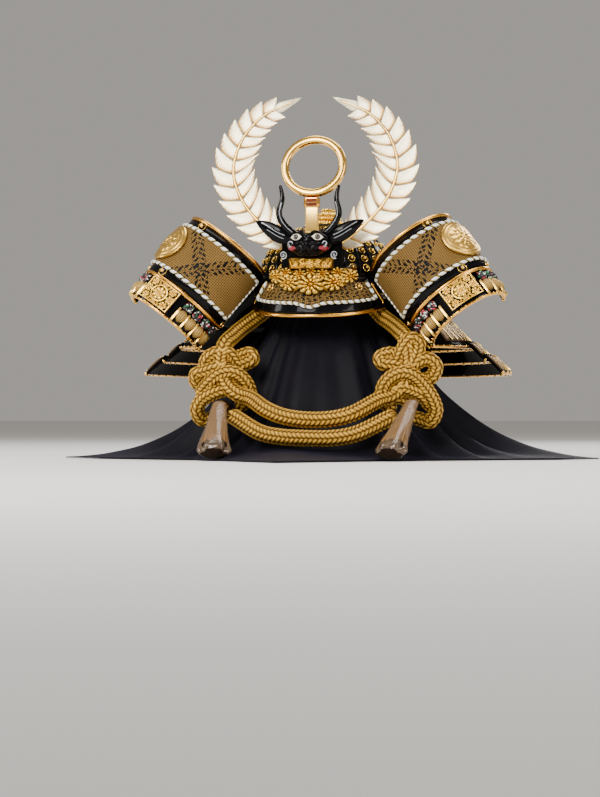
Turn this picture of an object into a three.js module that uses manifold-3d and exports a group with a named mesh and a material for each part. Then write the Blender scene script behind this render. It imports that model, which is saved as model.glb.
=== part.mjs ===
// A miniature samurai helmet (kabuto) on its cloth-covered display stand.
// Millimetres, +Z up, +X to the right of a viewer who faces the helmet, which looks along -Y.
// The origin is on the floor, in the middle of the stand.
import * as THREE from 'three';
import { TessellateModifier } from 'three/addons/modifiers/TessellateModifier.js';
import { mergeVertices } from 'three/addons/utils/BufferGeometryUtils.js';
import Module from 'manifold-3d';

const wasm = await Module();
wasm.setup();

// Driving dimensions

const GAP = 0.3; // between pieces that touch

const BOWL_HALF_WIDTH = 54;
const BOWL_HALF_LENGTH = 58;
const BOWL_RIM_Z = 126;
const BOWL_HEIGHT = 55;
const BOWL_WALL = 1.5;
const BAND_HEIGHT = 13;
const BAND_THICKNESS = 2.2;

const CROWN_RADIUS = 13;
const CROWN_HEIGHT = 12;

const VISOR_WALL = 1.6;
const VISOR_REACH = 17.5; // how far its front edge stands out from the band
const VISOR_DROP = 28; // how far its front edge hangs below its root
const VISOR_SIDE_DROP = 20;
const VISOR_HALF_WIDTH = 50;
const VISOR_ROOT_ANGLE = 40; // degrees either side of the front, at the root
const VISOR_EDGE_ANGLE = 68; // the same at the front edge
const VISOR_BULGE = 1.6;
const VISOR_RIM_RADIUS = 1.5;

const BASE_PLATE_WALL = 2.2;
const BASE_PLATE_ANGLE = 30; // half of the arc that the flower plate covers, degrees
const BASE_PLATE_CLEARANCE = 2.5; // in front of the visor's root
const BASE_PLATE_RISE = 4; // how much higher its ends stand than its middle
const BASE_FLOWER_RADIUS = 6;
const HOLDER_WIDTH = 46;
const HOLDER_HEIGHT = 25;
const HOLDER_WALL = 2.6;
const HOLDER_SINK = 3; // how far it reaches below the top of the flower plate
const MOUTH_PLATE_WIDTH = 34;
const MOUTH_PLATE_HEIGHT = 8;
const MOUTH_PLATE_DEPTH = 9;

const MASK_HALF_WIDTH = 17;
const MASK_HALF_DEPTH = 10;
const MASK_HALF_HEIGHT = 9.5;
const HORN_RISE = 36;
const HORN_RADIUS = 2.9;
const EAR_REACH = 27;

const POST_WIDTH = 10;
const POST_WALL = 3;
const POST_HEIGHT = 24;
const POST_CAP_HEIGHT = 7;
const POST_CAP_PROUD = 1; // how far the cap stands out from the post at each side
const RING_RADIUS = 22;
const RING_TUBE_RADIUS = 3.25;
const RING_LEAN = 20; // degrees

const FERN_HEIGHT = 112;
const FERN_SPREAD = 44; // how far the rib swings out from its foot
const FERN_LEAFLET_OUT = 16;
const FERN_LEAFLET_IN = 18;
const FERN_WALL = 1.3;
const FERN_SLIT = 0.55; // half of the slit between two leaflets
const FERN_LEAN = 9; // degrees
const FERN_STEM = 8; // how far the stem runs down behind the holder

const LAME_WALL = 1.5;
const LAME_1_WIDTH = 51;
const LAME_2_WIDTH = 29;
const LAME_3_WIDTH = 20;
const LAME_4_WIDTH = 20;
const LAME_OVERLAP = 4.5;
const NECK_SLOPE = 41.1; // degrees from the vertical
const NECK_FLARE = 8; // extra swing of the lowest edge
const LAME_FRONT_ANGLE = 10; // how far the lower lames pass the side, degrees
const LAME_CLEARANCE = 0.9; // between two lames
const FACET_CLEARANCE = 0.6; // how deep the facets of a curl can be
const LACING_WALL = 1.3;
const LACING_MARGIN = 4;

const TURNBACK_ROOT_ANGLE = 42; // degrees forward of the side
const TURNBACK_FLARE = 38.5; // degrees from the vertical
const TURNBACK_TILT = 15.7; // degrees forward
const TURNBACK_CHORD = 73;
const TURNBACK_DEPTH = 30;
const TURNBACK_TURN = 198; // degrees that the panel turns through
const TURNBACK_RIM_RADIUS = 1.5;
const LEATHER_WALL = 1.1;
const LEATHER_MARGIN = 6;

const DISC_RADIUS = 16;
const DISC_WALL = 1.6;
const DISC_DOME = 1.8;
const DISC_TURN = 147; // where the disc sits round the curl, degrees

const OPENWORK_LENGTH = 27;
const OPENWORK_WIDTH = 19;
const OPENWORK_WALL = 1.2;
const OPENWORK_TURN = 102; // middle of the pierced plate round the curl, degrees

const CORD_RADIUS = 6.4;
const CORD_SIDES = 10;
const KNOT_TUBE_RADIUS = 6;
const SLEEVE_TOP_RADIUS = 5.6;
const SLEEVE_END_RADIUS = 12.5;
const SLEEVE_FLATNESS = 0.55;

const CORE_TOP_RADIUS = 34;
const CORE_BASE_RADIUS = 52;
const CORE_SHOULDER_Z = 136;
const CLOTH_WALL = 1.2;
const CLOTH_CORNER_REACH = 156; // from the core's foot to a corner of the square
const CLOTH_EDGE_REACH = 70; // from the core's foot to the middle of an edge
const CLOTH_FOLD_DEPTH = 9;

// Cord routes and knots: points in the part's own frame, chosen by hand

const LEFT_DROP = [
  [-36.5, -29, 127], [-37.5, -29.5, 121], [-43, -33, 114], [-49.5, -38.5, 108], [-56.5, -49, 101],
  [-62, -61, 94], [-65.9, -74.4, 86.2],
];
const RIGHT_DROP = [
  [36.5, -29, 127], [37.5, -29.5, 121], [43, -33, 114], [49.5, -38.5, 108], [57.5, -49, 103],
  [65.5, -61, 97], [72.3, -74.6, 89.6],
];
const UPPER_CROSS = [
  [-44.1, -87, 46.65], [-28, -102, 38], [-14, -109, 33], [4, -112, 30.5], [22, -111, 31], [36, -106, 34.5],
  [54.8, -87.6, 45.7],
];
const LOWER_CROSS = [
  [-54, -94.5, 32.5], [-31, -109, 21], [-15, -115, 18], [4, -118, 17], [24, -117, 17], [40, -111, 20],
  [63.8, -97, 31.9],
];

const KNOTS = {
  left: { side: 1, centre: [-66, -79, 56], sleeveTop: [-66, -91.7, 41.9], sleeveEnd: [-63, -124, 8.5] },
  right: { side: -1, centre: [73, -79, 59.5], sleeveTop: [79.3, -92.1, 42.9], sleeveEnd: [69, -125, 8.5] },
};
// Loops of a knot: offsets from its centre, towards the other knot, forwards and up
const KNOT_LOOPS = {
  arch: { inward: 7, front: 3, up: -3, radius: 12, tip: 8, swing: 0 },
  outer: { inward: -12, front: 0, up: 5, radius: 8.5, tip: 0, swing: 35 },
  top: { inward: 1, front: -1, up: 15, radius: 7, tip: 60, swing: 20 },
  lower: { inward: -9, front: 1, up: -14, radius: 7.5, tip: 0, swing: -30 },
};

// Small helpers

const rad = THREE.MathUtils.degToRad;
const vec = (x, y, z) => new THREE.Vector3(x, y, z);

function finish(color, roughness, metalness) {
  return new THREE.MeshStandardMaterial({ color, roughness, metalness });
}

const gold = finish(0xd9a441, 0.25, 1);
const paleGold = finish(0xf0dca0, 0.3, 1);
const blackLacquer = finish(0x0b0b0d, 0.2, 0);
const leather = finish(0x8f7645, 0.6, 0);
const silkLacing = finish(0xd8c38a, 0.6, 0);
const goldBraid = finish(0xb98d43, 0.6, 0);
const navyCloth = finish(0x171426, 0.8, 0);
const amber = finish(0x8a5a1c, 0.2, 0);
const clearSleeve = finish(0x8d6a3c, 0.15, 0);
const wood = finish(0xc9a878, 0.7, 0);

const kabuto = new THREE.Group();

function add(name, geometry, material) {
  const mesh = new THREE.Mesh(geometry, material);
  mesh.name = name;
  kabuto.add(mesh);
  return mesh;
}

// A profile of [radius, height] pairs, turned about the vertical axis.
function turned(profile, segments) {
  const points = profile.map(([radius, height]) => new THREE.Vector2(radius, height));
  return new THREE.LatheGeometry(points, segments).rotateX(Math.PI / 2);
}

// The same shape on the other side: mirrored, with its faces turned back outwards.
function mirrored(geometry) {
  const copy = geometry.index ? geometry.toNonIndexed() : geometry.clone();
  copy.deleteAttribute('normal');
  copy.deleteAttribute('uv');
  const place = copy.getAttribute('position');
  const turnedRound = new Float32Array(place.count * 3);
  for (let i = 0; i < place.count; i += 3) {
    [i, i + 2, i + 1].forEach((from, k) => {
      turnedRound.set([-place.getX(from), place.getY(from), place.getZ(from)], (i + k) * 3);
    });
  }
  return copy.setAttribute('position', new THREE.BufferAttribute(turnedRound, 3));
}

// Adds a piece on the right and its mirror image on the left.
function addPair(name, geometry, material) {
  add(`${name}_right`, geometry, material);
  add(`${name}_left`, mirrored(geometry), material);
}

function geometryOf(points, triangles) {
  const geometry = new THREE.BufferGeometry();
  geometry.setAttribute('position', new THREE.Float32BufferAttribute(points.flatMap((p) => p.toArray()), 3));
  geometry.setIndex(triangles);
  return geometry;
}

// Unit normal of a surface point(u, v), from its two slopes.
function normalAt(surface, u, v) {
  const step = 2e-3;
  const along = surface(u + step, v).sub(surface(u - step, v));
  const across = surface(u, v + step).sub(surface(u, v - step));
  return along.cross(across).normalize();
}

// `count` + 1 evenly spaced values.
function evenly(from, to, count) {
  return Array.from({ length: count + 1 }, (_, i) => from + ((to - from) * i) / count);
}

// A thin plate that follows surface(u, v) at the listed values of u and v: two skins, at `from` and `to`
// along the normal, and four edges.
function plate(surface, uValues, vValues, from, to) {
  const points = [];
  [from, to].forEach((offset) => {
    uValues.forEach((u) => vValues.forEach((v) => {
      points.push(surface(u, v).addScaledVector(normalAt(surface, u, v), offset));
    }));
  });
  const columns = uValues.length - 1;
  const rows = vValues.length - 1;
  const skin = (columns + 1) * (rows + 1);
  const at = (layer, i, j) => layer * skin + i * (rows + 1) + j;
  const triangles = [];
  const quad = (a, b, c, d) => triangles.push(a, b, c, a, c, d);
  for (let i = 0; i < columns; i += 1) {
    for (let j = 0; j < rows; j += 1) {
      quad(at(1, i, j), at(1, i + 1, j), at(1, i + 1, j + 1), at(1, i, j + 1));
      quad(at(0, i, j), at(0, i, j + 1), at(0, i + 1, j + 1), at(0, i + 1, j));
    }
    quad(at(0, i, 0), at(0, i + 1, 0), at(1, i + 1, 0), at(1, i, 0));
    quad(at(0, i + 1, rows), at(0, i, rows), at(1, i, rows), at(1, i + 1, rows));
  }
  for (let j = 0; j < rows; j += 1) {
    quad(at(0, 0, j + 1), at(0, 0, j), at(1, 0, j), at(1, 0, j + 1));
    quad(at(0, columns, j), at(0, columns, j + 1), at(1, columns, j + 1), at(1, columns, j));
  }
  return geometryOf(points, triangles);
}

// A round tube with flat ends along a smooth curve through the points.
function tube(points, radius, sides, steps) {
  const section = new THREE.Shape();
  for (let i = 0; i < sides; i += 1) {
    const angle = (2 * Math.PI * i) / sides;
    const [x, y] = [radius * Math.cos(angle), radius * Math.sin(angle)];
    if (i === 0) section.moveTo(x, y);
    else section.lineTo(x, y);
  }
  const extrudePath = new THREE.CatmullRomCurve3(points.map((p) => (p.isVector3 ? p : vec(...p))));
  return new THREE.ExtrudeGeometry(section, { steps, extrudePath });
}

function solidOf(geometry) {
  const bare = geometry.index ? geometry.toNonIndexed() : geometry.clone();
  bare.deleteAttribute('normal');
  bare.deleteAttribute('uv');
  const merged = mergeVertices(bare, 1e-3);
  return new wasm.Manifold(new wasm.Mesh({
    numProp: 3,
    vertProperties: merged.getAttribute('position').array,
    triVerts: new Uint32Array(merged.index.array),
  }));
}

function geometryFrom(solid) {
  const { vertProperties, triVerts } = solid.getMesh();
  const geometry = new THREE.BufferGeometry();
  geometry.setAttribute('position', new THREE.Float32BufferAttribute(vertProperties, 3));
  geometry.setIndex([...triVerts]);
  return geometry;
}

// One casting from several overlapping geometries.
function fused(geometries) {
  return geometryFrom(geometries.map(solidOf).reduce((whole, next) => whole.add(next)));
}

// Stand core: a turned wooden form, narrow enough for the bowl to drop over it

const BOWL_TOP_Z = BOWL_RIM_Z + BOWL_HEIGHT;
const CORE_TOP_Z = BOWL_TOP_Z - BOWL_WALL - CLOTH_WALL - 2 * GAP;
const DOME_STEPS = 4;

function coreRadius(z) {
  return THREE.MathUtils.lerp(CORE_BASE_RADIUS, CORE_TOP_RADIUS, z / CORE_SHOULDER_Z);
}

// Quarter ellipse from the shoulder (turn 0) to the top of the dome (turn 1).
function domePoint(turn, offset) {
  const angle = (turn * Math.PI) / 2;
  return [
    (CORE_TOP_RADIUS + offset) * Math.cos(angle),
    CORE_SHOULDER_Z + (CORE_TOP_Z - CORE_SHOULDER_Z + offset) * Math.sin(angle),
  ];
}

const coreProfile = [[0, 0], [CORE_BASE_RADIUS, 0]];
for (let step = 0; step < DOME_STEPS; step += 1) coreProfile.push(domePoint(step / DOME_STEPS, 0));
coreProfile.push([0, CORE_TOP_Z]);
add('stand_core', turned(coreProfile, 24), wood);

// Stand cloth: one square of silk over the core, its corners drawn out on the floor

// Rows down the cloth: height as a share of the shoulder's height, and how far it stands off the core,
// as shares of the edge reach, the corner reach (at the sides and back, and at the front) and the fold depth
const CLOTH_ROWS = [
  { height: 1.0, edge: 0, corner: 0, front: 0, fold: 0 },
  { height: 0.8, edge: 0.02, corner: 0.01, front: 0.01, fold: 0.12 },
  { height: 0.58, edge: 0.2, corner: 0.09, front: 0.11, fold: 0.5 },
  { height: 0.36, edge: 0.34, corner: 0.2, front: 0.2, fold: 0.75 },
  { height: 0.18, edge: 0.5, corner: 0.36, front: 0.22, fold: 0.9 },
  { height: 0.075, edge: 0.66, corner: 0.54, front: 0.29, fold: 0.9 },
  { height: 0.025, edge: 0.8, corner: 0.72, front: 0.56, fold: 0.8 },
  { height: 0, edge: 0.92, corner: 0.88, front: 0.8, fold: 0.4 },
  { height: 0, edge: 1.0, corner: 1.0, front: 1.0, fold: 0 },
];
const CLOTH_COLUMNS = 40;
const CLOTH_FOLDS = 11;
const CLOTH_FOLD_DRIFT = 0.8; // makes the folds uneven, radians

// How much a direction points at a corner of the square (1) or at the middle of an edge (0), so that the
// edges come out straight on the floor.
function cornerShare(angle) {
  const quarter = Math.PI / 2;
  const off = Math.abs(angle / quarter - Math.round(angle / quarter)) * quarter;
  const corner = CORE_BASE_RADIUS + CLOTH_CORNER_REACH;
  const edge = CORE_BASE_RADIUS + CLOTH_EDGE_REACH;
  const radius = 1 / (Math.cos(off) / corner + Math.sin(off) * (Math.SQRT2 / edge - 1 / corner));
  return (radius - edge) / (corner - edge);
}

function clothPoint(angle, row) {
  const frontShare = Math.max(0, -Math.sin(angle)) ** 2;
  const corner = THREE.MathUtils.lerp(row.corner, row.front, frontShare) * CLOTH_CORNER_REACH;
  const stand = THREE.MathUtils.lerp(row.edge * CLOTH_EDGE_REACH, corner, cornerShare(angle));
  const ripple = Math.cos(CLOTH_FOLDS * angle + CLOTH_FOLD_DRIFT * Math.sin(2 * angle));
  const fold = row.fold * CLOTH_FOLD_DEPTH * 0.5 * (1 + ripple);
  const z = row.height * CORE_SHOULDER_Z;
  const radius = coreRadius(z) + GAP + stand + fold;
  return vec(radius * Math.cos(angle), radius * Math.sin(angle), z);
}

// The cloth is two skins of the same net, the outer one pushed out and up by the wall.
function clothSkin(outer) {
  const rows = [];
  const lift = outer ? CLOTH_WALL : 0;
  for (let step = DOME_STEPS - 1; step > 0; step -= 1) {
    const [radius, z] = domePoint(step / DOME_STEPS, GAP + lift);
    rows.push((angle) => vec(radius * Math.cos(angle), radius * Math.sin(angle), z));
  }
  CLOTH_ROWS.forEach((row) => {
    rows.push((angle) => {
      const point = clothPoint(angle, row);
      const away = vec(Math.cos(angle), Math.sin(angle), 0).multiplyScalar(row.height > 0 ? lift : 0);
      return point.add(away).add(vec(0, 0, row.height < 1 ? lift : 0));
    });
  });
  return rows;
}

function clothGeometry() {
  const points = [];
  const skins = [clothSkin(false), clothSkin(true)];
  skins.forEach((rows, layer) => {
    points.push(vec(0, 0, CORE_TOP_Z + GAP + layer * CLOTH_WALL));
    rows.forEach((row) => {
      for (let i = 0; i < CLOTH_COLUMNS; i += 1) points.push(row((2 * Math.PI * i) / CLOTH_COLUMNS));
    });
  });
  const count = skins[0].length;
  const skin = 1 + count * CLOTH_COLUMNS;
  const at = (layer, row, i) => layer * skin + 1 + row * CLOTH_COLUMNS + (i % CLOTH_COLUMNS);
  const triangles = [];
  const quad = (a, b, c, d) => triangles.push(a, b, c, a, c, d);
  for (let i = 0; i < CLOTH_COLUMNS; i += 1) {
    triangles.push(skin, at(1, 0, i), at(1, 0, i + 1));
    triangles.push(0, at(0, 0, i + 1), at(0, 0, i));
    for (let row = 0; row + 1 < count; row += 1) {
      quad(at(1, row, i), at(1, row + 1, i), at(1, row + 1, i + 1), at(1, row, i + 1));
      quad(at(0, row, i), at(0, row, i + 1), at(0, row + 1, i + 1), at(0, row + 1, i));
    }
    quad(at(1, count - 1, i), at(0, count - 1, i), at(0, count - 1, i + 1), at(1, count - 1, i + 1));
  }
  return geometryOf(points, triangles);
}

add('stand_cloth', clothGeometry(), navyCloth);

// Bowl: a hollow black shell, a little longer than it is wide, with a vertical band round its rim

const BOWL_STEPS = 6;
const BOWL_FULLNESS = 2.3; // exponent of the bowl's outline: 2 is a plain half ellipse
const lengthen = (geometry) => geometry.scale(1, BOWL_HALF_LENGTH / BOWL_HALF_WIDTH, 1);

function bowlOutline(turn, inset) {
  const angle = (turn * Math.PI) / 2;
  const power = 2 / BOWL_FULLNESS;
  return [
    (BOWL_HALF_WIDTH - inset) * Math.cos(angle) ** power,
    BOWL_RIM_Z + (BOWL_HEIGHT - inset) * Math.sin(angle) ** power,
  ];
}

const bowlProfile = [];
for (let step = 0; step < BOWL_STEPS; step += 1) bowlProfile.push(bowlOutline(step / BOWL_STEPS, 0));
bowlProfile.push([0, BOWL_TOP_Z], [0, BOWL_TOP_Z - BOWL_WALL]);
for (let step = BOWL_STEPS - 1; step >= 0; step -= 1) {
  bowlProfile.push(bowlOutline(step / BOWL_STEPS, BOWL_WALL));
}
bowlProfile.push(bowlProfile[0]);
add('bowl', lengthen(turned(bowlProfile, 28)), blackLacquer);

const bandInner = BOWL_HALF_WIDTH + GAP;
const bandOuter = bandInner + BAND_THICKNESS;
const BAND_TOP_Z = BOWL_RIM_Z + BAND_HEIGHT;
const bandProfile = [
  [bandOuter, BOWL_RIM_Z], [bandOuter, BAND_TOP_Z], [bandInner, BAND_TOP_Z], [bandInner, BOWL_RIM_Z],
  [bandOuter, BOWL_RIM_Z],
];
add('bowl_band', lengthen(turned(bandProfile, 28)), blackLacquer);

// Crown fitting: stacked gold collars round the hole at the top of the bowl
// Columns: radius as a share of the crown's radius, height as a share of the crown's height
const CROWN_TURNS = [
  { radius: 0, height: 0.02 }, { radius: 1, height: 0.02 }, { radius: 0.94, height: 0.16 },
  { radius: 0.72, height: 0.26 }, { radius: 0.78, height: 0.42 }, { radius: 0.56, height: 0.52 },
  { radius: 0.62, height: 0.7 }, { radius: 0.42, height: 0.82 }, { radius: 0.44, height: 1 },
  { radius: 0.26, height: 1 }, { radius: 0.2, height: 0.7 }, { radius: 0, height: 0.7 },
];
const crownProfile = CROWN_TURNS.map(({ radius, height }) => [
  radius * CROWN_RADIUS, BOWL_TOP_Z + GAP + height * CROWN_HEIGHT,
]);
add('crown_fitting', turned(crownProfile, 16), gold);

// Visor: a sloping crescent that hangs from the front of the band

const VISOR_ROOT_Z = BAND_TOP_Z - 1;
const bandHalfLength = (bandOuter * BOWL_HALF_LENGTH) / BOWL_HALF_WIDTH;
const rootHalfWidth = bandOuter + VISOR_WALL + 2 * GAP;
const rootHalfLength = bandHalfLength + VISOR_WALL + 2 * GAP;
const edgeCentreY = -0.3 * rootHalfLength; // middle of the arc that the front edge follows

// u runs from the left end (0) to the right end (1), v from the root (0) to the front edge (1).
function visorPoint(u, v) {
  const swing = 2 * u - 1;
  const rootAngle = rad(VISOR_ROOT_ANGLE) * swing;
  const edgeAngle = rad(VISOR_EDGE_ANGLE) * swing;
  const edgeHalfWidth = VISOR_HALF_WIDTH / Math.sin(rad(VISOR_EDGE_ANGLE));
  const edgeReach = rootHalfLength + VISOR_REACH + edgeCentreY;
  const drop = THREE.MathUtils.lerp(VISOR_DROP, VISOR_SIDE_DROP, Math.abs(swing) ** 2.5);
  const root = vec(
    rootHalfWidth * Math.sin(rootAngle),
    -rootHalfLength * Math.cos(rootAngle),
    VISOR_ROOT_Z,
  );
  const edge = vec(
    edgeHalfWidth * Math.sin(edgeAngle),
    edgeCentreY - edgeReach * Math.cos(edgeAngle),
    VISOR_ROOT_Z - drop,
  );
  const bulge = VISOR_BULGE * Math.sin(Math.PI * v) * (1 - 0.5 * swing * swing);
  return root.lerp(edge, v).add(vec(0, -bulge, bulge));
}

const visor = plate((u, v) => visorPoint(1 - u, v), evenly(0, 1, 16), evenly(0, 1, 3), -VISOR_WALL, 0);
add('visor', visor, blackLacquer);

// The raised side of the visor points forwards and up.
function onVisor(u, v, height) {
  const lift = normalAt((a, b) => visorPoint(1 - a, b), 1 - u, v);
  return visorPoint(u, v).addScaledVector(lift, height);
}

const VISOR_RIM_STEPS = 16;
const visorRim = evenly(0, 1, VISOR_RIM_STEPS).map((u) => {
  const down = onVisor(u, 1, 0).sub(onVisor(u, 0.97, 0)).normalize();
  return onVisor(u, 1, -VISOR_WALL / 2).addScaledVector(down, VISOR_RIM_RADIUS + GAP);
});
add('visor_rim', tube(visorRim, VISOR_RIM_RADIUS, 5, VISOR_RIM_STEPS), gold);

// Crest base: a gold flower plate over the visor's root, with an upright holder for the crests

const FLOWER_PLACES = [-0.72, -0.36, 0, 0.36, 0.72]; // along the plate, as shares of its half arc
const FLOWER_DOWN = 0.55; // share of the way down the plate
const FLOWER_PETALS = 6;

// Its top edge stands in front of the visor's root, and its lower edge lies on the visor.
function basePlatePoint(u, v) {
  const swing = 2 * u - 1;
  const angle = rad(BASE_PLATE_ANGLE) * swing;
  const clear = VISOR_WALL + BASE_PLATE_CLEARANCE;
  const top = vec(
    (rootHalfWidth + clear) * Math.sin(angle),
    -(rootHalfLength + clear) * Math.cos(angle),
    BAND_TOP_Z + 0.4 * BASE_PLATE_RISE + BASE_PLATE_RISE * swing * swing,
  );
  const low = onVisor(0.5 + 0.36 * swing, 0.52 - 0.2 * swing * swing, 2 * GAP);
  return top.lerp(low, v);
}

const basePlate = plate(
  (u, v) => basePlatePoint(1 - u, v), evenly(0, 1, 12), evenly(0, 1, 2), 0, BASE_PLATE_WALL,
);

// One flower: a low boss with a ring of petals, standing on the plate.
function flower(share) {
  const centre = basePlatePoint(0.5 + 0.5 * share, FLOWER_DOWN);
  const out = normalAt((a, b) => basePlatePoint(1 - a, b), 0.5 - 0.5 * share, FLOWER_DOWN);
  const size = BASE_FLOWER_RADIUS * (1 - 0.25 * Math.abs(share));
  const petals = new THREE.Shape(evenly(0, 2 * Math.PI, 2 * FLOWER_PETALS).slice(1).map((angle, i) => {
    const radius = size * (i % 2 ? 1 : 0.78);
    return new THREE.Vector2(radius * Math.cos(angle), radius * Math.sin(angle));
  }));
  const disc = new THREE.ExtrudeGeometry(petals, { depth: BASE_PLATE_WALL, bevelEnabled: false });
  const boss = new THREE.SphereGeometry(size * 0.42, 6, 4).translate(0, 0, BASE_PLATE_WALL);
  const turn = new THREE.Quaternion().setFromUnitVectors(vec(0, 0, 1), out);
  return [disc, boss].map((piece) => piece
    .applyQuaternion(turn)
    .translate(...centre.clone().addScaledVector(out, BASE_PLATE_WALL * 0.6).toArray()));
}

const plateTop = basePlatePoint(0.5, 0);
const holderFrontY = plateTop.y - BASE_PLATE_WALL;
const holderTopZ = plateTop.z + HOLDER_HEIGHT;
const holderReach = HOLDER_HEIGHT + HOLDER_SINK;
const holder = new THREE.BoxGeometry(HOLDER_WIDTH, HOLDER_WALL, holderReach)
  .translate(0, holderFrontY + HOLDER_WALL / 2, holderTopZ - holderReach / 2);
add('crest_base', fused([basePlate, holder, ...FLOWER_PLACES.flatMap(flower)]), gold);

// Mouth plate: the small gold block under the mask

const mouthFloorZ = plateTop.z + BASE_PLATE_WALL + 1;
const mouthShape = new THREE.Shape();
mouthShape.moveTo(-MOUTH_PLATE_WIDTH / 2, 0);
mouthShape.lineTo(MOUTH_PLATE_WIDTH / 2, 0);
mouthShape.quadraticCurveTo(MOUTH_PLATE_WIDTH / 2, MOUTH_PLATE_DEPTH, 0, MOUTH_PLATE_DEPTH);
mouthShape.quadraticCurveTo(-MOUTH_PLATE_WIDTH / 2, MOUTH_PLATE_DEPTH, -MOUTH_PLATE_WIDTH / 2, 0);
const mouthPlate = new THREE.ExtrudeGeometry(mouthShape, {
  depth: MOUTH_PLATE_HEIGHT, bevelEnabled: false, curveSegments: 6,
});
mouthPlate.rotateZ(Math.PI).translate(0, holderFrontY - GAP, mouthFloorZ);
add('mouth_plate', mouthPlate, gold);

// Demon mask: one casting of a snarling horned head

const maskCentre = vec(
  0,
  holderFrontY - GAP - MASK_HALF_DEPTH,
  mouthFloorZ + MOUTH_PLATE_HEIGHT + 2 * GAP + MASK_HALF_HEIGHT,
);

function lump(halfWidth, halfDepth, halfHeight, x, y, z) {
  return new THREE.SphereGeometry(1, 10, 6).rotateX(Math.PI / 2).scale(halfWidth, halfDepth, halfHeight)
    .translate(maskCentre.x + x, maskCentre.y + y, maskCentre.z + z);
}

// A tapered horn or ear: a tube of radius 1 along a curve, each of its points then moved to its own distance
// from the curve, which shrinks to the tip.
function tapered(points, radius, flatness) {
  const curve = new THREE.CatmullRomCurve3(points.map((p) => vec(...p).add(maskCentre)));
  const steps = 6;
  const geometry = tube(curve.getPoints(steps), 1, 6, steps);
  const place = geometry.getAttribute('position');
  const line = curve.getSpacedPoints(48);
  for (let i = 0; i < place.count; i += 1) {
    const point = vec(place.getX(i), place.getY(i), place.getZ(i));
    const nearest = line.reduce((best, p, k) => (
      p.distanceTo(point) < line[best].distanceTo(point) ? k : best), 0);
    const share = nearest / (line.length - 1);
    const size = radius * Math.max(0.16, Math.sin(Math.PI * Math.min(1, 0.42 + 0.6 * share)));
    const away = point.sub(line[nearest]).multiplyScalar(size);
    away.y *= flatness;
    place.setXYZ(i, ...away.add(line[nearest]).toArray());
  }
  return geometry;
}

// Offsets from the middle of the mask

const hornPath = [
  [0.55 * MASK_HALF_WIDTH, 1, 0.6 * MASK_HALF_HEIGHT], [1.05 * MASK_HALF_WIDTH, -1, 0.36 * HORN_RISE],
  [1.4 * MASK_HALF_WIDTH, -1.5, 0.6 * HORN_RISE], [1.15 * MASK_HALF_WIDTH, 0, 0.95 * HORN_RISE],
  [1.3 * MASK_HALF_WIDTH, 1, 1.2 * HORN_RISE],
];
const earPath = [
  [0.7 * MASK_HALF_WIDTH, 1, 0.3 * MASK_HALF_HEIGHT], [0.55 * EAR_REACH + 8, 0, 0.75 * MASK_HALF_HEIGHT],
  [0.8 * EAR_REACH + 10, 1, 1.3 * MASK_HALF_HEIGHT], [EAR_REACH + 14, 2, 1.85 * MASK_HALF_HEIGHT],
];
const horn = tapered(hornPath, HORN_RADIUS, 1);
const ear = tapered(earPath, 1.5 * HORN_RADIUS, 0.5);
const maskParts = [
  lump(MASK_HALF_WIDTH, MASK_HALF_DEPTH, MASK_HALF_HEIGHT, 0, 0, 0),
  lump(0.62 * MASK_HALF_WIDTH, 0.6 * MASK_HALF_DEPTH, 0.55 * MASK_HALF_HEIGHT, 0,
    -0.8 * MASK_HALF_DEPTH, -0.3 * MASK_HALF_HEIGHT),
  horn, mirrored(horn), ear, mirrored(ear),
];
add('demon_mask', fused(maskParts), blackLacquer);

// Sun crest: a square post with an amber cap and a plain ring

const postY = holderFrontY + HOLDER_WALL - POST_WALL / 2;
const postTopZ = holderTopZ + GAP + POST_HEIGHT;
const post = new THREE.BoxGeometry(POST_WIDTH, POST_WALL, POST_HEIGHT)
  .translate(0, postY, holderTopZ + GAP + POST_HEIGHT / 2);
add('crest_post', post, gold);

const [capWidth, capWall] = [POST_WIDTH, POST_WALL].map((size) => size + 2 * POST_CAP_PROUD);
const cap = new THREE.BoxGeometry(capWidth, capWall, POST_CAP_HEIGHT)
  .translate(0, postY, postTopZ + GAP + POST_CAP_HEIGHT / 2);
add('crest_cap', cap, amber);

const ringLean = rad(RING_LEAN);
const ringFootZ = postTopZ + POST_CAP_HEIGHT + 2 * GAP;
const ringCentreZ = ringFootZ + RING_RADIUS * Math.cos(ringLean) + RING_TUBE_RADIUS;
const ring = new THREE.TorusGeometry(RING_RADIUS, RING_TUBE_RADIUS, 7, 24)
  .rotateX(Math.PI / 2 - ringLean)
  .translate(0, postY + RING_RADIUS * Math.sin(ringLean), ringCentreZ);
add('crest_ring', ring, gold);

// Fern crests: cut gold leaves, one each side, standing behind the holder

// The rib's line: shares of the spread and of the height
const FERN_RIB = [
  { out: 0, up: 0 }, { out: 0.26, up: 0.07 }, { out: 0.54, up: 0.17 }, { out: 0.79, up: 0.29 },
  { out: 0.94, up: 0.41 }, { out: 1.0, up: 0.52 }, { out: 0.97, up: 0.62 }, { out: 0.82, up: 0.765 },
  { out: 0.5, up: 0.9 }, { out: -0.04, up: 1.0 },
];
// Leaflet length along the rib, as shares of the full lengths
const FERN_FULLNESS = [
  { along: 0, size: 0.45 }, { along: 0.12, size: 0.85 }, { along: 0.3, size: 1 }, { along: 0.55, size: 1 },
  { along: 0.75, size: 0.8 }, { along: 0.9, size: 0.62 }, { along: 1, size: 0.3 },
];
const FERN_PAIRS = 13;
const FERN_STEM_SHARE = 0.9; // the leaflets stop here, and the tip is one blade
const FERN_RIB_HALF_WIDTH = 1.2;

const fernRib = new THREE.CatmullRomCurve3(
  FERN_RIB.map(({ out, up }) => vec(out * FERN_SPREAD, up * FERN_HEIGHT, 0)),
);

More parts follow.
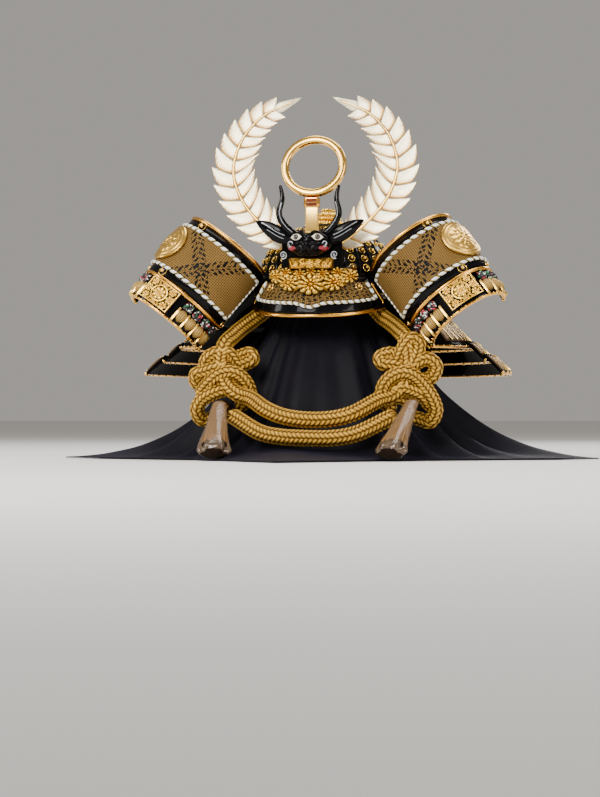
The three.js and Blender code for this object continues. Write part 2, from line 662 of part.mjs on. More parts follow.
function fernFullness(along) {
  const after = FERN_FULLNESS.findIndex((row) => row.along >= along);
  const [low, high] = [FERN_FULLNESS[Math.max(0, after - 1)], FERN_FULLNESS[after]];
  const span = high.along - low.along || 1;
  return THREE.MathUtils.lerp(low.size, high.size, (along - low.along) / span);
}

// A point on the line between two leaflets: `reach` runs from the rib (0) to the tips (1).
function fernLine(along, side, reach) {
  const foot = fernRib.getPointAt(Math.min(1, along));
  const ahead = fernRib.getTangentAt(Math.min(1, along));
  const outward = vec(ahead.y, -ahead.x, 0).multiplyScalar(side);
  const length = (side > 0 ? FERN_LEAFLET_OUT : FERN_LEAFLET_IN) * fernFullness(along);
  return foot
    .addScaledVector(outward, FERN_RIB_HALF_WIDTH + reach * (length - FERN_RIB_HALF_WIDTH))
    .addScaledVector(ahead, length * 0.5 * reach ** 1.6);
}

// One side's outline from foot to tip: each leaflet bulges out, comes to a point and returns along its top.
function fernEdge(side) {
  const points = [];
  for (let i = 0; i < FERN_PAIRS; i += 1) {
    const low = (i / FERN_PAIRS) * FERN_STEM_SHARE;
    const high = ((i + 1) / FERN_PAIRS) * FERN_STEM_SHARE;
    const ahead = fernRib.getTangentAt((low + high) / 2);
    const shifted = (point, amount) => point.addScaledVector(ahead, amount);
    points.push(shifted(fernLine(low, side, 0.1), FERN_SLIT));
    points.push(shifted(fernLine(low, side, 0.55), FERN_SLIT));
    points.push(fernLine(THREE.MathUtils.lerp(low, high, 0.4), side, 0.86));
    points.push(shifted(fernLine(high, side, 1), -FERN_SLIT));
    points.push(shifted(fernLine(high, side, 0.5), -FERN_SLIT));
    points.push(shifted(fernLine(high, side, 0.1), -FERN_SLIT));
  }
  return points;
}

const fernOutline = [
  vec(-FERN_RIB_HALF_WIDTH, -FERN_STEM, 0),
  vec(FERN_RIB_HALF_WIDTH, -FERN_STEM, 0),
  ...fernEdge(1),
  fernRib.getPointAt(1),
  ...fernEdge(-1).reverse(),
];
const fernShape = new THREE.Shape(fernOutline.map(({ x, y }) => new THREE.Vector2(x, y)));
const fernFootX = HOLDER_WIDTH / 2 - 4;
const fernFootY = holderFrontY + HOLDER_WALL + GAP + FERN_WALL + FERN_STEM * Math.sin(rad(FERN_LEAN));
const fern = new THREE.ExtrudeGeometry(fernShape, { depth: FERN_WALL, bevelEnabled: false })
  .rotateX(Math.PI / 2 - rad(FERN_LEAN))
  .translate(fernFootX, fernFootY, holderTopZ - 4);
addPair('fern', fern, paleGold);

// Neck guard: four sloping lames round the back, the first two turned back in curls beside the visor

const turnbackDown = vec(
  Math.sin(rad(TURNBACK_FLARE)) * Math.cos(rad(TURNBACK_TILT)),
  -Math.sin(rad(TURNBACK_TILT)),
  -Math.cos(rad(TURNBACK_FLARE)) * Math.cos(rad(TURNBACK_TILT)),
);
const turnbackAcross = vec(0.77, 0.14, 0.62);
turnbackAcross.addScaledVector(turnbackDown, -turnbackAcross.dot(turnbackDown)).normalize();
const turnbackFront = turnbackDown.clone().cross(turnbackAcross);
const ROUND_HALF_ARC = 90 + TURNBACK_ROOT_ANGLE;
const guardHalfWidth = bandOuter + GAP + FACET_CLEARANCE;
const guardHalfLength = bandHalfLength + GAP + FACET_CLEARANCE;
const neckDepth = LAME_1_WIDTH + LAME_2_WIDTH + LAME_3_WIDTH + LAME_4_WIDTH - 3 * LAME_OVERLAP;

// A point of the guard. `place` runs round it: -1 to 1 from the left root through the back to the right
// root, and beyond those round each curl, 1 for each half turn. `down` is the distance from the top edge.
// The normal points outwards, and to the hollow side of the curls.
function guardPoint(place, down) {
  const onCurl = Math.max(0, Math.abs(place) - 1) * Math.PI;
  const round = THREE.MathUtils.clamp(place, -1, 1);
  const angle = rad(90 - round * ROUND_HALF_ARC);
  const spread = vec(Math.cos(angle), Math.sin(angle), 0);
  const top = vec(guardHalfWidth * spread.x, guardHalfLength * spread.y, BAND_TOP_Z);
  const slope = spread.clone().multiplyScalar(Math.sin(rad(NECK_SLOPE))).setZ(-Math.cos(rad(NECK_SLOPE)));
  const side = place > 0 ? 1 : -1;
  const toSide = (v) => vec(v.x * side, v.y, v.z);
  const blend = THREE.MathUtils.smoothstep(Math.abs(round), 0.8, 1);
  const direction = slope.lerp(toSide(turnbackDown), blend).normalize();
  const flare = NECK_FLARE * (down / neckDepth) ** 2 * (1 - blend);
  const point = top.addScaledVector(direction, down).addScaledVector(spread, flare);
  const half = TURNBACK_CHORD / 2;
  return point
    .addScaledVector(toSide(turnbackAcross), half - half * Math.cos(onCurl))
    .addScaledVector(toSide(turnbackFront), TURNBACK_DEPTH * Math.sin(onCurl));
}

const curlEnd = 1 + TURNBACK_TURN / 180;
const openEnd = (90 + LAME_FRONT_ANGLE) / ROUND_HALF_ARC;

// Each lame lies outside the one above it. The second also clears the gold rim of the first.
const LAMES = [];
let lameTop = 0;
let lameInside = 0;
[LAME_1_WIDTH, LAME_2_WIDTH, LAME_3_WIDTH, LAME_4_WIDTH].forEach((width, i) => {
  LAMES.push({ top: lameTop, width, inside: lameInside, end: i < 2 ? curlEnd : openEnd });
  lameTop += width - LAME_OVERLAP;
  lameInside += LAME_CLEARANCE + (i === 0 ? LAME_WALL / 2 + TURNBACK_RIM_RADIUS : LAME_WALL);
});

// Places between two ends of the guard. All plates bend at the same places, so their facets lie flat
// on each other: 12 to the round half arc, and 10 to the half turn of a curl.
function placesBetween(start, end) {
  const bends = [
    ...evenly(-2.2, -1, 12), ...evenly(-1, 1, 24).slice(1, -1), ...evenly(1, 2.2, 12),
  ];
  const inner = bends.filter((place) => place > start + 0.02 && place < end - 0.02);
  return [start, ...inner, end];
}

function lamePlate(top, width, end, from, to) {
  return plate(guardPoint, placesBetween(-end, end), [top, top + width], from, to);
}

LAMES.forEach(({ top, width, inside, end }, i) => {
  add(`neck_lame_${i + 1}`, lamePlate(top, width, end, inside, inside + LAME_WALL), blackLacquer);
});

// Lacing: a band of silk on the outside of each lame, from its top edge down to the next lame

const LACING_ARC = 0.88; // share of the round arc that the upper bands cover, clear of the curls
LAMES.forEach(({ top, width, inside, end }, i) => {
  const from = i === 0 ? LACING_MARGIN : GAP + LACING_MARGIN / 2;
  const to = width - (i < 3 ? LAME_OVERLAP + LAME_CLEARANCE : LACING_MARGIN / 2);
  const reach = Math.min(end - 0.01, LACING_ARC);
  const outside = inside + LAME_WALL + 2 * GAP;
  const band = lamePlate(top + from, to - from, reach, outside, outside + LACING_WALL);
  add(`lacing_${i + 1}`, band, silkLacing);
});

// Curl panels: everything on the front of a curl follows the same surface as its lame

// `turn` is in degrees round the right curl from its root, `down` is from the lame's top edge.
const onCurl = (turn, down) => guardPoint(1 + turn / 180, down);

// The leather lies on the front of the curl, against the normal.
const PANEL_START = 9; // degrees: the leather stops just short of the bend beside the visor
const PANEL_STOP = TURNBACK_TURN - 6;
const panel = plate(
  guardPoint,
  placesBetween(1 + PANEL_START / 180, 1 + PANEL_STOP / 180),
  [LEATHER_MARGIN, LAME_1_WIDTH - LEATHER_MARGIN],
  -GAP - LEATHER_WALL,
  -GAP,
);
addPair('turnback_leather', panel, leather);

function curlNormal(turn, down) {
  const around = onCurl(turn + 0.5, down).sub(onCurl(turn - 0.5, down));
  const along = onCurl(turn, down + 0.5).sub(onCurl(turn, down - 0.5));
  return around.cross(along).normalize();
}

// Rim of a curl: gold tubes along the top and bottom edges of its lame, `away` -1 for the top
const RIM_START = 4; // degrees: clear of the band
const RIM_STEPS = 12;
function curlRim(down, away) {
  const points = evenly(RIM_START, TURNBACK_TURN, RIM_STEPS).map((turn) => {
    const downward = onCurl(turn, down).sub(onCurl(turn, down - 1)).normalize();
    return onCurl(turn, down)
      .addScaledVector(downward, away * (TURNBACK_RIM_RADIUS + GAP))
      .addScaledVector(curlNormal(turn, down), LAME_WALL / 2);
  });
  return tube(points, TURNBACK_RIM_RADIUS, 5, RIM_STEPS + 1);
}

addPair('turnback_rim_top', curlRim(0, -1), gold);
addPair('turnback_rim_bottom', curlRim(LAME_1_WIDTH, 1), gold);

// A point of the right curl's front, at an arc length round it and a distance down it from a centre,
// and `height` above the surface.
function onCurlFront(centreTurn, centreDown, around, down, height) {
  const perDegree = onCurl(centreTurn + 1, centreDown).distanceTo(onCurl(centreTurn, centreDown));
  const turn = centreTurn + around / perDegree;
  return onCurl(turn, centreDown + down).addScaledVector(curlNormal(turn, centreDown + down), -height);
}

// Lays a flat geometry, with its thickness along z, on the front of the right curl.
function laidOnCurl(geometry, centreTurn, centreDown) {
  const place = geometry.getAttribute('position');
  for (let i = 0; i < place.count; i += 1) {
    const [around, up, height] = [place.getX(i), place.getY(i), place.getZ(i)];
    place.setXYZ(i, ...onCurlFront(centreTurn, centreDown, around, -up, height).toArray());
  }
  return geometry;
}

// Crest disc: a domed gold disc on the leather
const discProfile = [
  [0, 0],
  [0.5 * DISC_RADIUS, 0],
  [DISC_RADIUS, 0],
  [DISC_RADIUS, DISC_WALL],
  [0.66 * DISC_RADIUS, DISC_WALL + 0.56 * DISC_DOME],
  [0.33 * DISC_RADIUS, DISC_WALL + 0.89 * DISC_DOME],
  [0, DISC_WALL + DISC_DOME],
];
const discSeat = GAP + LEATHER_WALL + GAP + FACET_CLEARANCE;
const disc = turned(discProfile, 16).translate(0, 0, discSeat);
addPair('crest_disc', laidOnCurl(disc, DISC_TURN, LAME_1_WIDTH / 2), gold);

// Openwork plate: a pierced gold plate on the turned-back end of the second lame

// Holes: middle as shares of half the length and half the width, size as a share of half the width
const OPENWORK_HOLES = [
  { x: 0, y: 0, size: 0.2 }, { x: 0.46, y: 0, size: 0.17 }, { x: -0.46, y: 0, size: 0.17 },
  { x: 0.24, y: 0.52, size: 0.17 }, { x: -0.24, y: 0.52, size: 0.17 }, { x: 0.24, y: -0.52, size: 0.17 },
  { x: -0.24, y: -0.52, size: 0.17 }, { x: 0.72, y: 0.48, size: 0.15 }, { x: -0.72, y: 0.48, size: 0.15 },
  { x: 0.72, y: -0.48, size: 0.15 }, { x: -0.72, y: -0.48, size: 0.15 },
];
const OPENWORK_SCALLOPS = 10;
const OPENWORK_FACET = 13; // longest side of a facet, so that the plate can follow the curl

// A rectangle with a scalloped edge, pierced by the holes
function openworkShape() {
  const [halfLength, halfWidth] = [OPENWORK_LENGTH / 2, OPENWORK_WIDTH / 2];
  const half = Math.PI / (2 * OPENWORK_SCALLOPS);
  const edge = evenly(half, 2 * Math.PI - half, 2 * OPENWORK_SCALLOPS - 1).map((angle, i) => {
    const bulge = i % 2 ? 1 : 0.92;
    const size = bulge / Math.max(Math.abs(Math.cos(angle)), Math.abs(Math.sin(angle)));
    return new THREE.Vector2(halfLength * size * Math.cos(angle), halfWidth * size * Math.sin(angle));
  });
  const shape = new THREE.Shape(edge);
  shape.holes = OPENWORK_HOLES.map(({ x, y, size }) => new THREE.Path()
    .absarc(x * halfLength, y * halfWidth, size * halfWidth, 0, 2 * Math.PI, true));
  return shape;
}

const openwork = new THREE.ExtrudeGeometry(openworkShape(), {
  depth: OPENWORK_WALL, bevelEnabled: false, curveSegments: 3,
});
const openworkSeat = -LAMES[1].inside + GAP + FACET_CLEARANCE;
const openworkDown = LAME_1_WIDTH + 2 * (TURNBACK_RIM_RADIUS + GAP) + OPENWORK_WIDTH / 2;
const openworkCut = new TessellateModifier(OPENWORK_FACET, 6).modify(openwork.translate(0, 0, openworkSeat));
addPair('openwork_plate', laidOnCurl(openworkCut, OPENWORK_TURN, openworkDown), gold);

// Chin cord: a thick gold braid that hangs from the bowl, knotted each side and crossing twice in front

add('cord_drop_left', tube(LEFT_DROP, CORD_RADIUS, CORD_SIDES, 7), goldBraid);
add('cord_drop_right', tube(RIGHT_DROP, CORD_RADIUS, CORD_SIDES, 7), goldBraid);
add('cord_cross_upper', tube(UPPER_CROSS, CORD_RADIUS, CORD_SIDES, 8), goldBraid);
add('cord_cross_lower', tube(LOWER_CROSS, CORD_RADIUS, CORD_SIDES, 8), goldBraid);

function knot({ side, centre }) {
  return fused(Object.values(KNOT_LOOPS).map(({ inward, front, up, radius, tip, swing }) => (
    new THREE.TorusGeometry(radius, KNOT_TUBE_RADIUS, 6, 8)
      .rotateX(Math.PI / 2 - rad(tip))
      .rotateZ(rad(swing) * side)
      .translate(centre[0] + inward * side, centre[1] - front, centre[2] + up))));
}

// A flattened sleeve round the tassel at the end of the cord
function sleeve({ sleeveTop, sleeveEnd }) {
  const [top, end] = [vec(...sleeveTop), vec(...sleeveEnd)];
  const axis = top.clone().sub(end);
  const turn = new THREE.Quaternion().setFromUnitVectors(vec(0, 1, 0), axis.clone().normalize());
  return new THREE.CylinderGeometry(SLEEVE_TOP_RADIUS, SLEEVE_END_RADIUS, axis.length(), 12, 2)
    .scale(1, 1, SLEEVE_FLATNESS)
    .applyQuaternion(turn)
    .translate(...top.add(end).multiplyScalar(0.5).toArray());
}

Object.entries(KNOTS).forEach(([name, row]) => {
  add(`knot_${name}`, knot(row), goldBraid);
  add(`tassel_sleeve_${name}`, sleeve(row), clearSleeve);
});

export default kabuto;
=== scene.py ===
# %% [markdown]
# # A miniature samurai helmet on its cloth-covered stand
# The object is a small kabuto: a lacquered bowl with gold crests, a neck guard of laced lames that turns
# back in two curls, and a thick braided chin cord, all on a form that a square of silk covers.
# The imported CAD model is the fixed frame. Each step below dresses one part of it. All shapes are worked out
# in millimetres with numpy and become metres only when a mesh is made.

import bpy
import numpy as np
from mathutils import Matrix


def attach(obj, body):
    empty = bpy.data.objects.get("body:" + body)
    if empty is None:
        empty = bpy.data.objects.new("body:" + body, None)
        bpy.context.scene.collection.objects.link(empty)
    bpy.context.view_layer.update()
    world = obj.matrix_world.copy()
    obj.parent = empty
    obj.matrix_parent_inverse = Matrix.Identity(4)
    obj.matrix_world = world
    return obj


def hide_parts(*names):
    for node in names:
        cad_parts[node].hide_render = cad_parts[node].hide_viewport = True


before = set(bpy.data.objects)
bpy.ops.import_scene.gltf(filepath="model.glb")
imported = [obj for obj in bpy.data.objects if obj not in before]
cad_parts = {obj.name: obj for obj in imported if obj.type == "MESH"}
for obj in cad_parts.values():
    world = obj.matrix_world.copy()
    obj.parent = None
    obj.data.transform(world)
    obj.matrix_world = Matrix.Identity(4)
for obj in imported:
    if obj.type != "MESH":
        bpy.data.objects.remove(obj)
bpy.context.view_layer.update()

MM = 0.001

# %% [markdown]
# ## The camera
# A product picture of a small thing is taken level and from far away with a long lens, so that upright
# lines stay upright. The camera stands a little to the right of the helmet's front. The camera comes first,
# because the cords are judged by what it sees.

# %% Camera
RIGHT = np.array([0.9826, 0.1857, 0.0])
FRONT = np.array([0.1857, -0.9826, 0.0])
UP = np.array([0.0, 0.0, 1.0])

camera = bpy.data.objects.new("camera", bpy.data.cameras.new("camera"))
camera.data.lens = 131
camera.data.sensor_width = 36
camera.data.shift_y = 0.0245
camera.location = (0.3956, -2.21, 0.0318)
camera.rotation_euler = (np.pi / 2, 0, np.arctan2(FRONT[0], -FRONT[1]))
bpy.context.scene.collection.objects.link(camera)
bpy.context.scene.camera = camera
print("camera", tuple(camera.location))

# %% [markdown]
# ## Small helpers
# A few short sums come back in every piece: angles round a full turn, every pair of two rows of numbers,
# points from their coordinates, the distance gone along a line, the bell curve that shapes soft bumps, and
# the cubic that joins two rows of a table smoothly.

# %% Small helpers
def round_turn(count):
    """`count` angles evenly round a full turn, from 0."""
    return 2 * np.pi * np.arange(count) / count


def crossed(us, vs):
    """Every u with every v: two grids with a row for each u and a column for each v."""
    return np.meshgrid(us, vs, indexing="ij")


def xyz(x, y, z):
    """Points from their coordinates, numbers or arrays that fit one another."""
    return np.stack(np.broadcast_arrays(x, y, z), -1)


def about_z(radius, turn, height):
    """Points at a radius and a turn about z, at a height."""
    return xyz(radius * np.cos(turn), radius * np.sin(turn), height)


def gone(line):
    """The distance from the first point to every point, measured along the line."""
    return np.concatenate([[0], np.cumsum(np.linalg.norm(np.diff(line, axis=0), axis=1))])


def bell(distance, width):
    """exp(-(distance / width)^2): 1 in the middle and nearly 0 two widths away."""
    return np.exp(-((distance / width) ** 2))


def unit(vectors):
    """Each vector divided by its length."""
    return vectors / np.maximum(np.linalg.norm(vectors, axis=-1, keepdims=True), 1e-12)


def cubic(rows, slopes, k, t, h=1.0):
    """The cubic from row k to the next, h long, with the slopes at both, where t runs from 0 to 1."""
    return (
        (2 * t**3 - 3 * t**2 + 1) * rows[k] + (t**3 - 2 * t**2 + t) * h * slopes[k]
        + (3 * t**2 - 2 * t**3) * rows[k + 1] + (t**3 - t**2) * h * slopes[k + 1]
    )


# %% [markdown]
# ## Shapes as arrays
# A shape here is a net of points with four-cornered faces. Each face corner keeps a pair (u, v), which the
# materials read as lengths or counts, and each point keeps a relief value from 0, deep in a groove, to 1 on
# top. The colours use relief to paint shade: gold is painted dark brown in its grooves and silk dark between
# its strands, where shadow would fall.

# %% The shape
class Shape:
    """Points (n, 3) in millimetres, faces (m, 4), a (u, v) pair at each face corner, relief at each point."""

    def __init__(self, points, faces, corners, relief):
        self.points, self.faces, self.corners, self.relief = points, faces, corners, relief

    def face_corners(self):
        """The first, second, third and fourth corners of all faces."""
        return (self.points[self.faces[:, k]] for k in range(4))

    def moved(self, rule):
        """The same net with its points at rule(points)."""
        return Shape(rule(self.points), self.faces, self.corners, self.relief)

    def turned_over(self):
        """The same net with its faces looking the other way."""
        return Shape(self.points, self.faces[:, ::-1], self.corners[:, ::-1], self.relief)

    def mirrored(self):
        """x becomes -x, and the faces are turned over so that they still look outwards."""
        return self.moved(lambda p: p * [-1, 1, 1]).turned_over()

    def outward(self):
        """Turned over if the volume inside, the sum of signed pyramids to the middle, is negative."""
        a, b, c, d = (corner - self.points.mean(0) for corner in self.face_corners())
        volume = (np.cross(a, b) * c).sum() + (np.cross(a, c) * d).sum()
        return self if volume > 0 else self.turned_over()


# Pieces that come in pairs are made for the right side and mirrored for the left
SIDES = {"right": lambda shape: shape, "left": Shape.mirrored}


def joined(shapes):
    """One net from several."""
    starts = np.cumsum([0] + [len(s.points) for s in shapes[:-1]])
    return Shape(
        np.concatenate([s.points for s in shapes]),
        np.concatenate([s.faces + start for s, start in zip(shapes, starts)]),
        np.concatenate([s.corners for s in shapes]),
        np.concatenate([s.relief for s in shapes]),
    )


def net(points, closed=(False, False), us=None, vs=None, relief=None, keep=None):
    """Faces over a grid of points: face (i, j) joins points (i, j), (i+1, j), (i+1, j+1), (i, j+1).
    us and vs are the coordinates of the rows and columns. keep leaves out the faces where it is False."""
    rows, columns = points.shape[:2]
    across, along = rows - (not closed[0]), columns - (not closed[1])
    us = np.linspace(0, 1, across + 1) if us is None else np.asarray(us, float)
    vs = np.linspace(0, 1, along + 1) if vs is None else np.asarray(vs, float)
    i, j = crossed(np.arange(across), np.arange(along))
    corners = [(i, j), (i + 1, j), (i + 1, j + 1), (i, j + 1)]
    faces = np.stack([(a % rows) * columns + b % columns for a, b in corners], -1).reshape(-1, 4)
    pairs = np.stack([np.stack([us[a], vs[b]], -1) for a, b in corners], 2).reshape(-1, 4, 2)
    if keep is not None:
        faces, pairs = faces[keep.ravel()], pairs[keep.ravel()]
    relief = np.ones((rows, columns)) if relief is None else np.broadcast_to(relief, (rows, columns))
    return Shape(points.reshape(-1, 3), faces, pairs, np.clip(relief, 0, 1).ravel().astype(float))


# %% [markdown]
# A piece becomes a Blender mesh in one place. Points that fall together are merged first, so poles and
# seams are closed, and a face whose corners have merged loses them. A wall is a Solidify modifier that
# grows inwards from the surface, as beaten metal or lacquered leather has its thickness behind its face.

# %% From a shape to a piece
SHARP_ANGLE = np.radians(40)


def welded(shape):
    """Points within a ten-thousandth of a millimetre become one."""
    _, first, same = np.unique(
        np.round(shape.points, 4), axis=0, return_index=True, return_inverse=True
    )
    faces = same.reshape(-1)[shape.faces]
    return Shape(shape.points[first], faces, shape.corners, shape.relief[first])


def piece(name, parts, stands_for=(), wall=0.0):
    """Makes one object from (shape, finish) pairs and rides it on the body."""
    whole = welded(joined([shape for shape, _ in parts]))
    finishes = np.repeat(np.arange(len(parts)), [len(shape.faces) for shape, _ in parts])
    kept = whole.faces != np.roll(whole.faces, -1, axis=1)
    solid = kept.sum(1) >= 3
    kept, faces, corners = kept[solid], whole.faces[solid], whole.corners[solid]
    counts = kept.sum(1)
    mesh = bpy.data.meshes.new(name)
    mesh.vertices.add(len(whole.points))
    mesh.vertices.foreach_set("co", (whole.points * MM).astype(np.float32).ravel())
    mesh.loops.add(int(counts.sum()))
    mesh.loops.foreach_set("vertex_index", faces[kept].astype(np.int32))
    mesh.polygons.add(len(faces))
    mesh.polygons.foreach_set("loop_start", np.concatenate([[0], np.cumsum(counts)[:-1]]).astype(np.int32))
    mesh.polygons.foreach_set("material_index", finishes[solid].astype(np.int32))
    mesh.update(calc_edges=True)
    mesh.uv_layers.new(name="UVMap").data.foreach_set("uv", corners[kept].astype(np.float32).ravel())
    mesh.attributes.new("relief", "FLOAT", "POINT").data.foreach_set("value", whole.relief.astype(np.float32))
    for _, finish in parts:
        mesh.materials.append(finish.material)
    mesh.validate()
    mesh.shade_smooth()
    mesh.set_sharp_from_angle(angle=SHARP_ANGLE)
    made = bpy.data.objects.new(name, mesh)
    bpy.context.scene.collection.objects.link(made)
    if wall:
        skin = made.modifiers.new("wall", "SOLIDIFY")
        skin.thickness = wall * MM
        skin.offset = -1
    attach(made, "root")
    if stands_for:
        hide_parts(*stands_for)
    print(name, len(mesh.vertices), "points", len(mesh.polygons), "faces")
    return made


# %% [markdown]
# ## Curves and tubes
# Cords, rims, braids, horns and the ring are all a section carried along a line. The line is a smooth curve
# through a few points. The section's side direction is worked out from one reference direction, so the tube
# never twists by itself and the strands of a braid stay straight.

# %% Smooth lines and sections carried along them
def smooth_line(points, step, closed=False):
    """A curve through the points, with a point about every `step` millimetres. Each piece is a cubic whose
    end slopes come from the neighbouring points, and the samples are moved to even distances."""
    p = np.asarray(points, float)
    if closed:
        p = np.concatenate([p[-2:], p, p[:3]])
    at = np.concatenate([[0], np.cumsum(np.linalg.norm(np.diff(p, axis=0), axis=1) ** 0.5)])
    slopes = np.gradient(p, at, axis=0)
    ends = (at[2], at[-3]) if closed else (at[0], at[-1])
    fine = np.linspace(*ends, 80 * len(p))
    k = np.clip(np.searchsorted(at, fine, side="right") - 1, 0, len(at) - 2)
    h = (at[k + 1] - at[k])[:, None]
    t = ((fine - at[k])[:, None]) / h
    curve = cubic(p, slopes, k, t, h)
    distance = gone(curve)
    count = max(4, int(round(distance[-1] / step)))
    even = np.linspace(0, distance[-1], count + 1)[: count if closed else count + 1]
    return np.stack([np.interp(even, distance, curve[:, axis]) for axis in range(3)], -1)


def length_of(line):
    """The sum of the distances between neighbouring points."""
    return np.linalg.norm(np.diff(line, axis=0), axis=1).sum()


def directions(line, reference, closed=False):
    """Ahead, to the side and upwards at each point: side is ahead x reference, up is side x ahead."""
    around = np.concatenate([line[-1:], line, line[:1]]) if closed else line
    ahead = unit(np.gradient(around, axis=0))
    ahead = ahead[1:-1] if closed else ahead
    side = unit(np.cross(ahead, np.broadcast_to(reference, line.shape)))
    return ahead, side, np.cross(side, ahead)


CAP = np.radians([90, 60, 30])


def tube(line, radius, sides, reference=FRONT, closed=False, columns=1, relief=None, flat=(1, 1)):
    """point + radius (cos turn x side + sin turn x up), with radius (rings, sides) or a number.
    Open ends are closed by half a ball: three more rings whose radius shrinks as the cosine."""
    ahead, side, top = directions(line, reference, closed)
    turn = round_turn(sides)
    radius = np.broadcast_to(radius, (len(line), sides)).astype(float)
    relief = np.broadcast_to(1.0 if relief is None else relief, radius.shape)
    us = gone(line)
    if closed:
        us = np.concatenate([us, [us[-1] + np.linalg.norm(line[0] - line[-1])]])
    else:
        first, last = radius[0].mean() * min(flat), radius[-1].mean() * min(flat)
        line = np.concatenate([
            line[:1] - ahead[:1] * first * np.sin(CAP)[:, None], line,
            line[-1:] + ahead[-1:] * last * np.sin(CAP[::-1])[:, None],
        ])
        radius = np.concatenate([
            radius[:1] * np.cos(CAP)[:, None], radius, radius[-1:] * np.cos(CAP[::-1])[:, None],
        ])
        side, top, relief = (
            np.concatenate([rows[:1].repeat(3, 0), rows, rows[-1:].repeat(3, 0)])
            for rows in (side, top, relief)
        )
        us = np.concatenate([[us[0]] * 3, us, [us[-1]] * 3])
    points = line[:, None] + radius[..., None] * (
        flat[0] * np.cos(turn)[:, None] * side[:, None] + flat[1] * np.sin(turn)[:, None] * top[:, None]
    )
    vs = np.linspace(0, columns, sides + 1)
    return net(points, (closed, True), us, vs, relief).outward()


# %% [markdown]
# ## Materials
# Every finish is a small node tree. The class below lets shader maths be written as ordinary Python: each
# operator on a value adds one Math node, and one method adds any other node. Numbers that are the same all
# over a surface go straight on to the shader's own sockets.

# %% Shader maths
class Value:
    """An output socket that can stand in a sum."""

    def __init__(self, finish, socket):
        self.finish, self.socket = finish, socket

    def maths(self, operation, *others, swapped=False):
        terms = [*others, self] if swapped else [self, *others]
        return self.finish.node("ShaderNodeMath", {"operation": operation}, terms)

    def __add__(self, other): return self.maths("ADD", other)
    def __radd__(self, other): return self.maths("ADD", other)
    def __sub__(self, other): return self.maths("SUBTRACT", other)
    def __rsub__(self, other): return self.maths("SUBTRACT", other, swapped=True)
    def __mul__(self, other): return self.maths("MULTIPLY", other)
    def __rmul__(self, other): return self.maths("MULTIPLY", other)
    def __truediv__(self, other): return self.maths("DIVIDE", other)
    def __pow__(self, other): return self.maths("POWER", other)
    def __gt__(self, other): return self.maths("GREATER_THAN", other)
    def __lt__(self, other): return self.maths("LESS_THAN", other)
    def __mod__(self, other): return self.maths("FLOORED_MODULO", other)
    def __abs__(self): return self.maths("ABSOLUTE")
    def sine(self): return self.maths("SINE")
    def highest(self, other): return self.maths("MAXIMUM", other)


class Finish:
    """One material. Constants are given by the shader's socket names with _ for the spaces."""

    def __init__(self, name, **constants):
        self.material = bpy.data.materials.new(name)
        self.material.use_nodes = True
        self.tree = self.material.node_tree
        self.shader = self.tree.nodes["Principled BSDF"]
        for socket, value in constants.items():
            self.shader.inputs[socket.replace("_", " ")].default_value = value

    def node(self, kind, settings=None, inputs=(), out=0):
        """Adds a node, sets its settings, then its sockets from values or links."""
        node = self.tree.nodes.new(kind)
        for name, value in (settings or {}).items():
            setattr(node, name, value)
        for key, value in inputs.items() if isinstance(inputs, dict) else enumerate(inputs):
            if isinstance(value, Value):
                self.tree.links.new(value.socket, node.inputs[key])
            else:
                node.inputs[key].default_value = value
        return Value(self, node.outputs[out])

    def feed(self, **sockets):
        for name, value in sockets.items():
            self.tree.links.new(value.socket, self.shader.inputs[name.replace("_", " ")])

    def place(self):
        return self.node("ShaderNodeTexCoord", out="Object")

    def pair(self):
        """The piece's own u and v."""
        split = self.node("ShaderNodeSeparateXYZ", inputs=[self.node("ShaderNodeTexCoord", out="UV")])
        return split, Value(self, split.socket.node.outputs[1])

    def relief(self):
        return self.node("ShaderNodeAttribute", {"attribute_name": "relief"}, out="Fac")

    def noise(self, scale, detail=3.0, roughness=0.55, vector=None):
        inputs = {"Vector": vector or self.place(), "Scale": scale, "Detail": detail, "Roughness": roughness}
        return self.node("ShaderNodeTexNoise", inputs=inputs)

    def stretched(self, scale, vector=None):
        """The coordinates times (x, y, z) factors."""
        return self.node("ShaderNodeMapping", inputs={"Vector": vector or self.place(), "Scale": scale})

    def between(self, factor, low, high):
        """0 below low, 1 above high, a straight ramp in between."""
        inputs = {"Value": factor, "From Min": low, "From Max": high}
        return self.node("ShaderNodeMapRange", {"clamp": True}, inputs)

    def mix(self, factor, first, second):
        first, second = ((*c, 1.0) if isinstance(c, tuple) and len(c) == 3 else c for c in (first, second))
        return self.node("ShaderNodeMix", {"data_type": "RGBA"}, {0: factor, 6: first, 7: second}, out=2)

    def bump(self, height, distance, strength=1.0):
        inputs = {"Height": height, "Distance": distance * MM, "Strength": strength}
        self.feed(Normal=self.node("ShaderNodeBump", inputs=inputs))


def mottled(name, scale, first, second, **constants):
    """A finish whose colour drifts between two tones with one soft noise."""
    finish = Finish(name, **constants)
    finish.feed(Base_Color=finish.mix(finish.noise(scale), first, second))
    return finish


# %% [markdown]
# ### Gold
# The gilt parts are cast or cut brass with a thin gold skin. They are bright on top and painted a shaded
# brown in the grooves, and never perfectly even, so colour and roughness follow the relief and a soft noise.

# %% Gold finishes
def gilt(name, bright, deep, roughness, grain=0.25, soft=0.06):
    finish = Finish(name, Metallic=1.0, Roughness=roughness)
    cloudy = finish.noise(260.0)
    fine = finish.noise(2600.0)
    # groove is 0 low in a groove and 1 on top; the deep colour it brings into the grooves is painted shade
    groove = finish.between(finish.relief(), 0.05, 0.6)
    tone = finish.mix(cloudy * 0.5, bright, tuple(c * 0.8 for c in bright))
    finish.feed(
        Base_Color=finish.mix(groove, deep, tone),
        Roughness=(1.0 - groove) * 0.3 + roughness + cloudy * soft,
    )
    finish.bump(fine + cloudy * 0.6, 0.05 * grain, 0.6)
    return finish


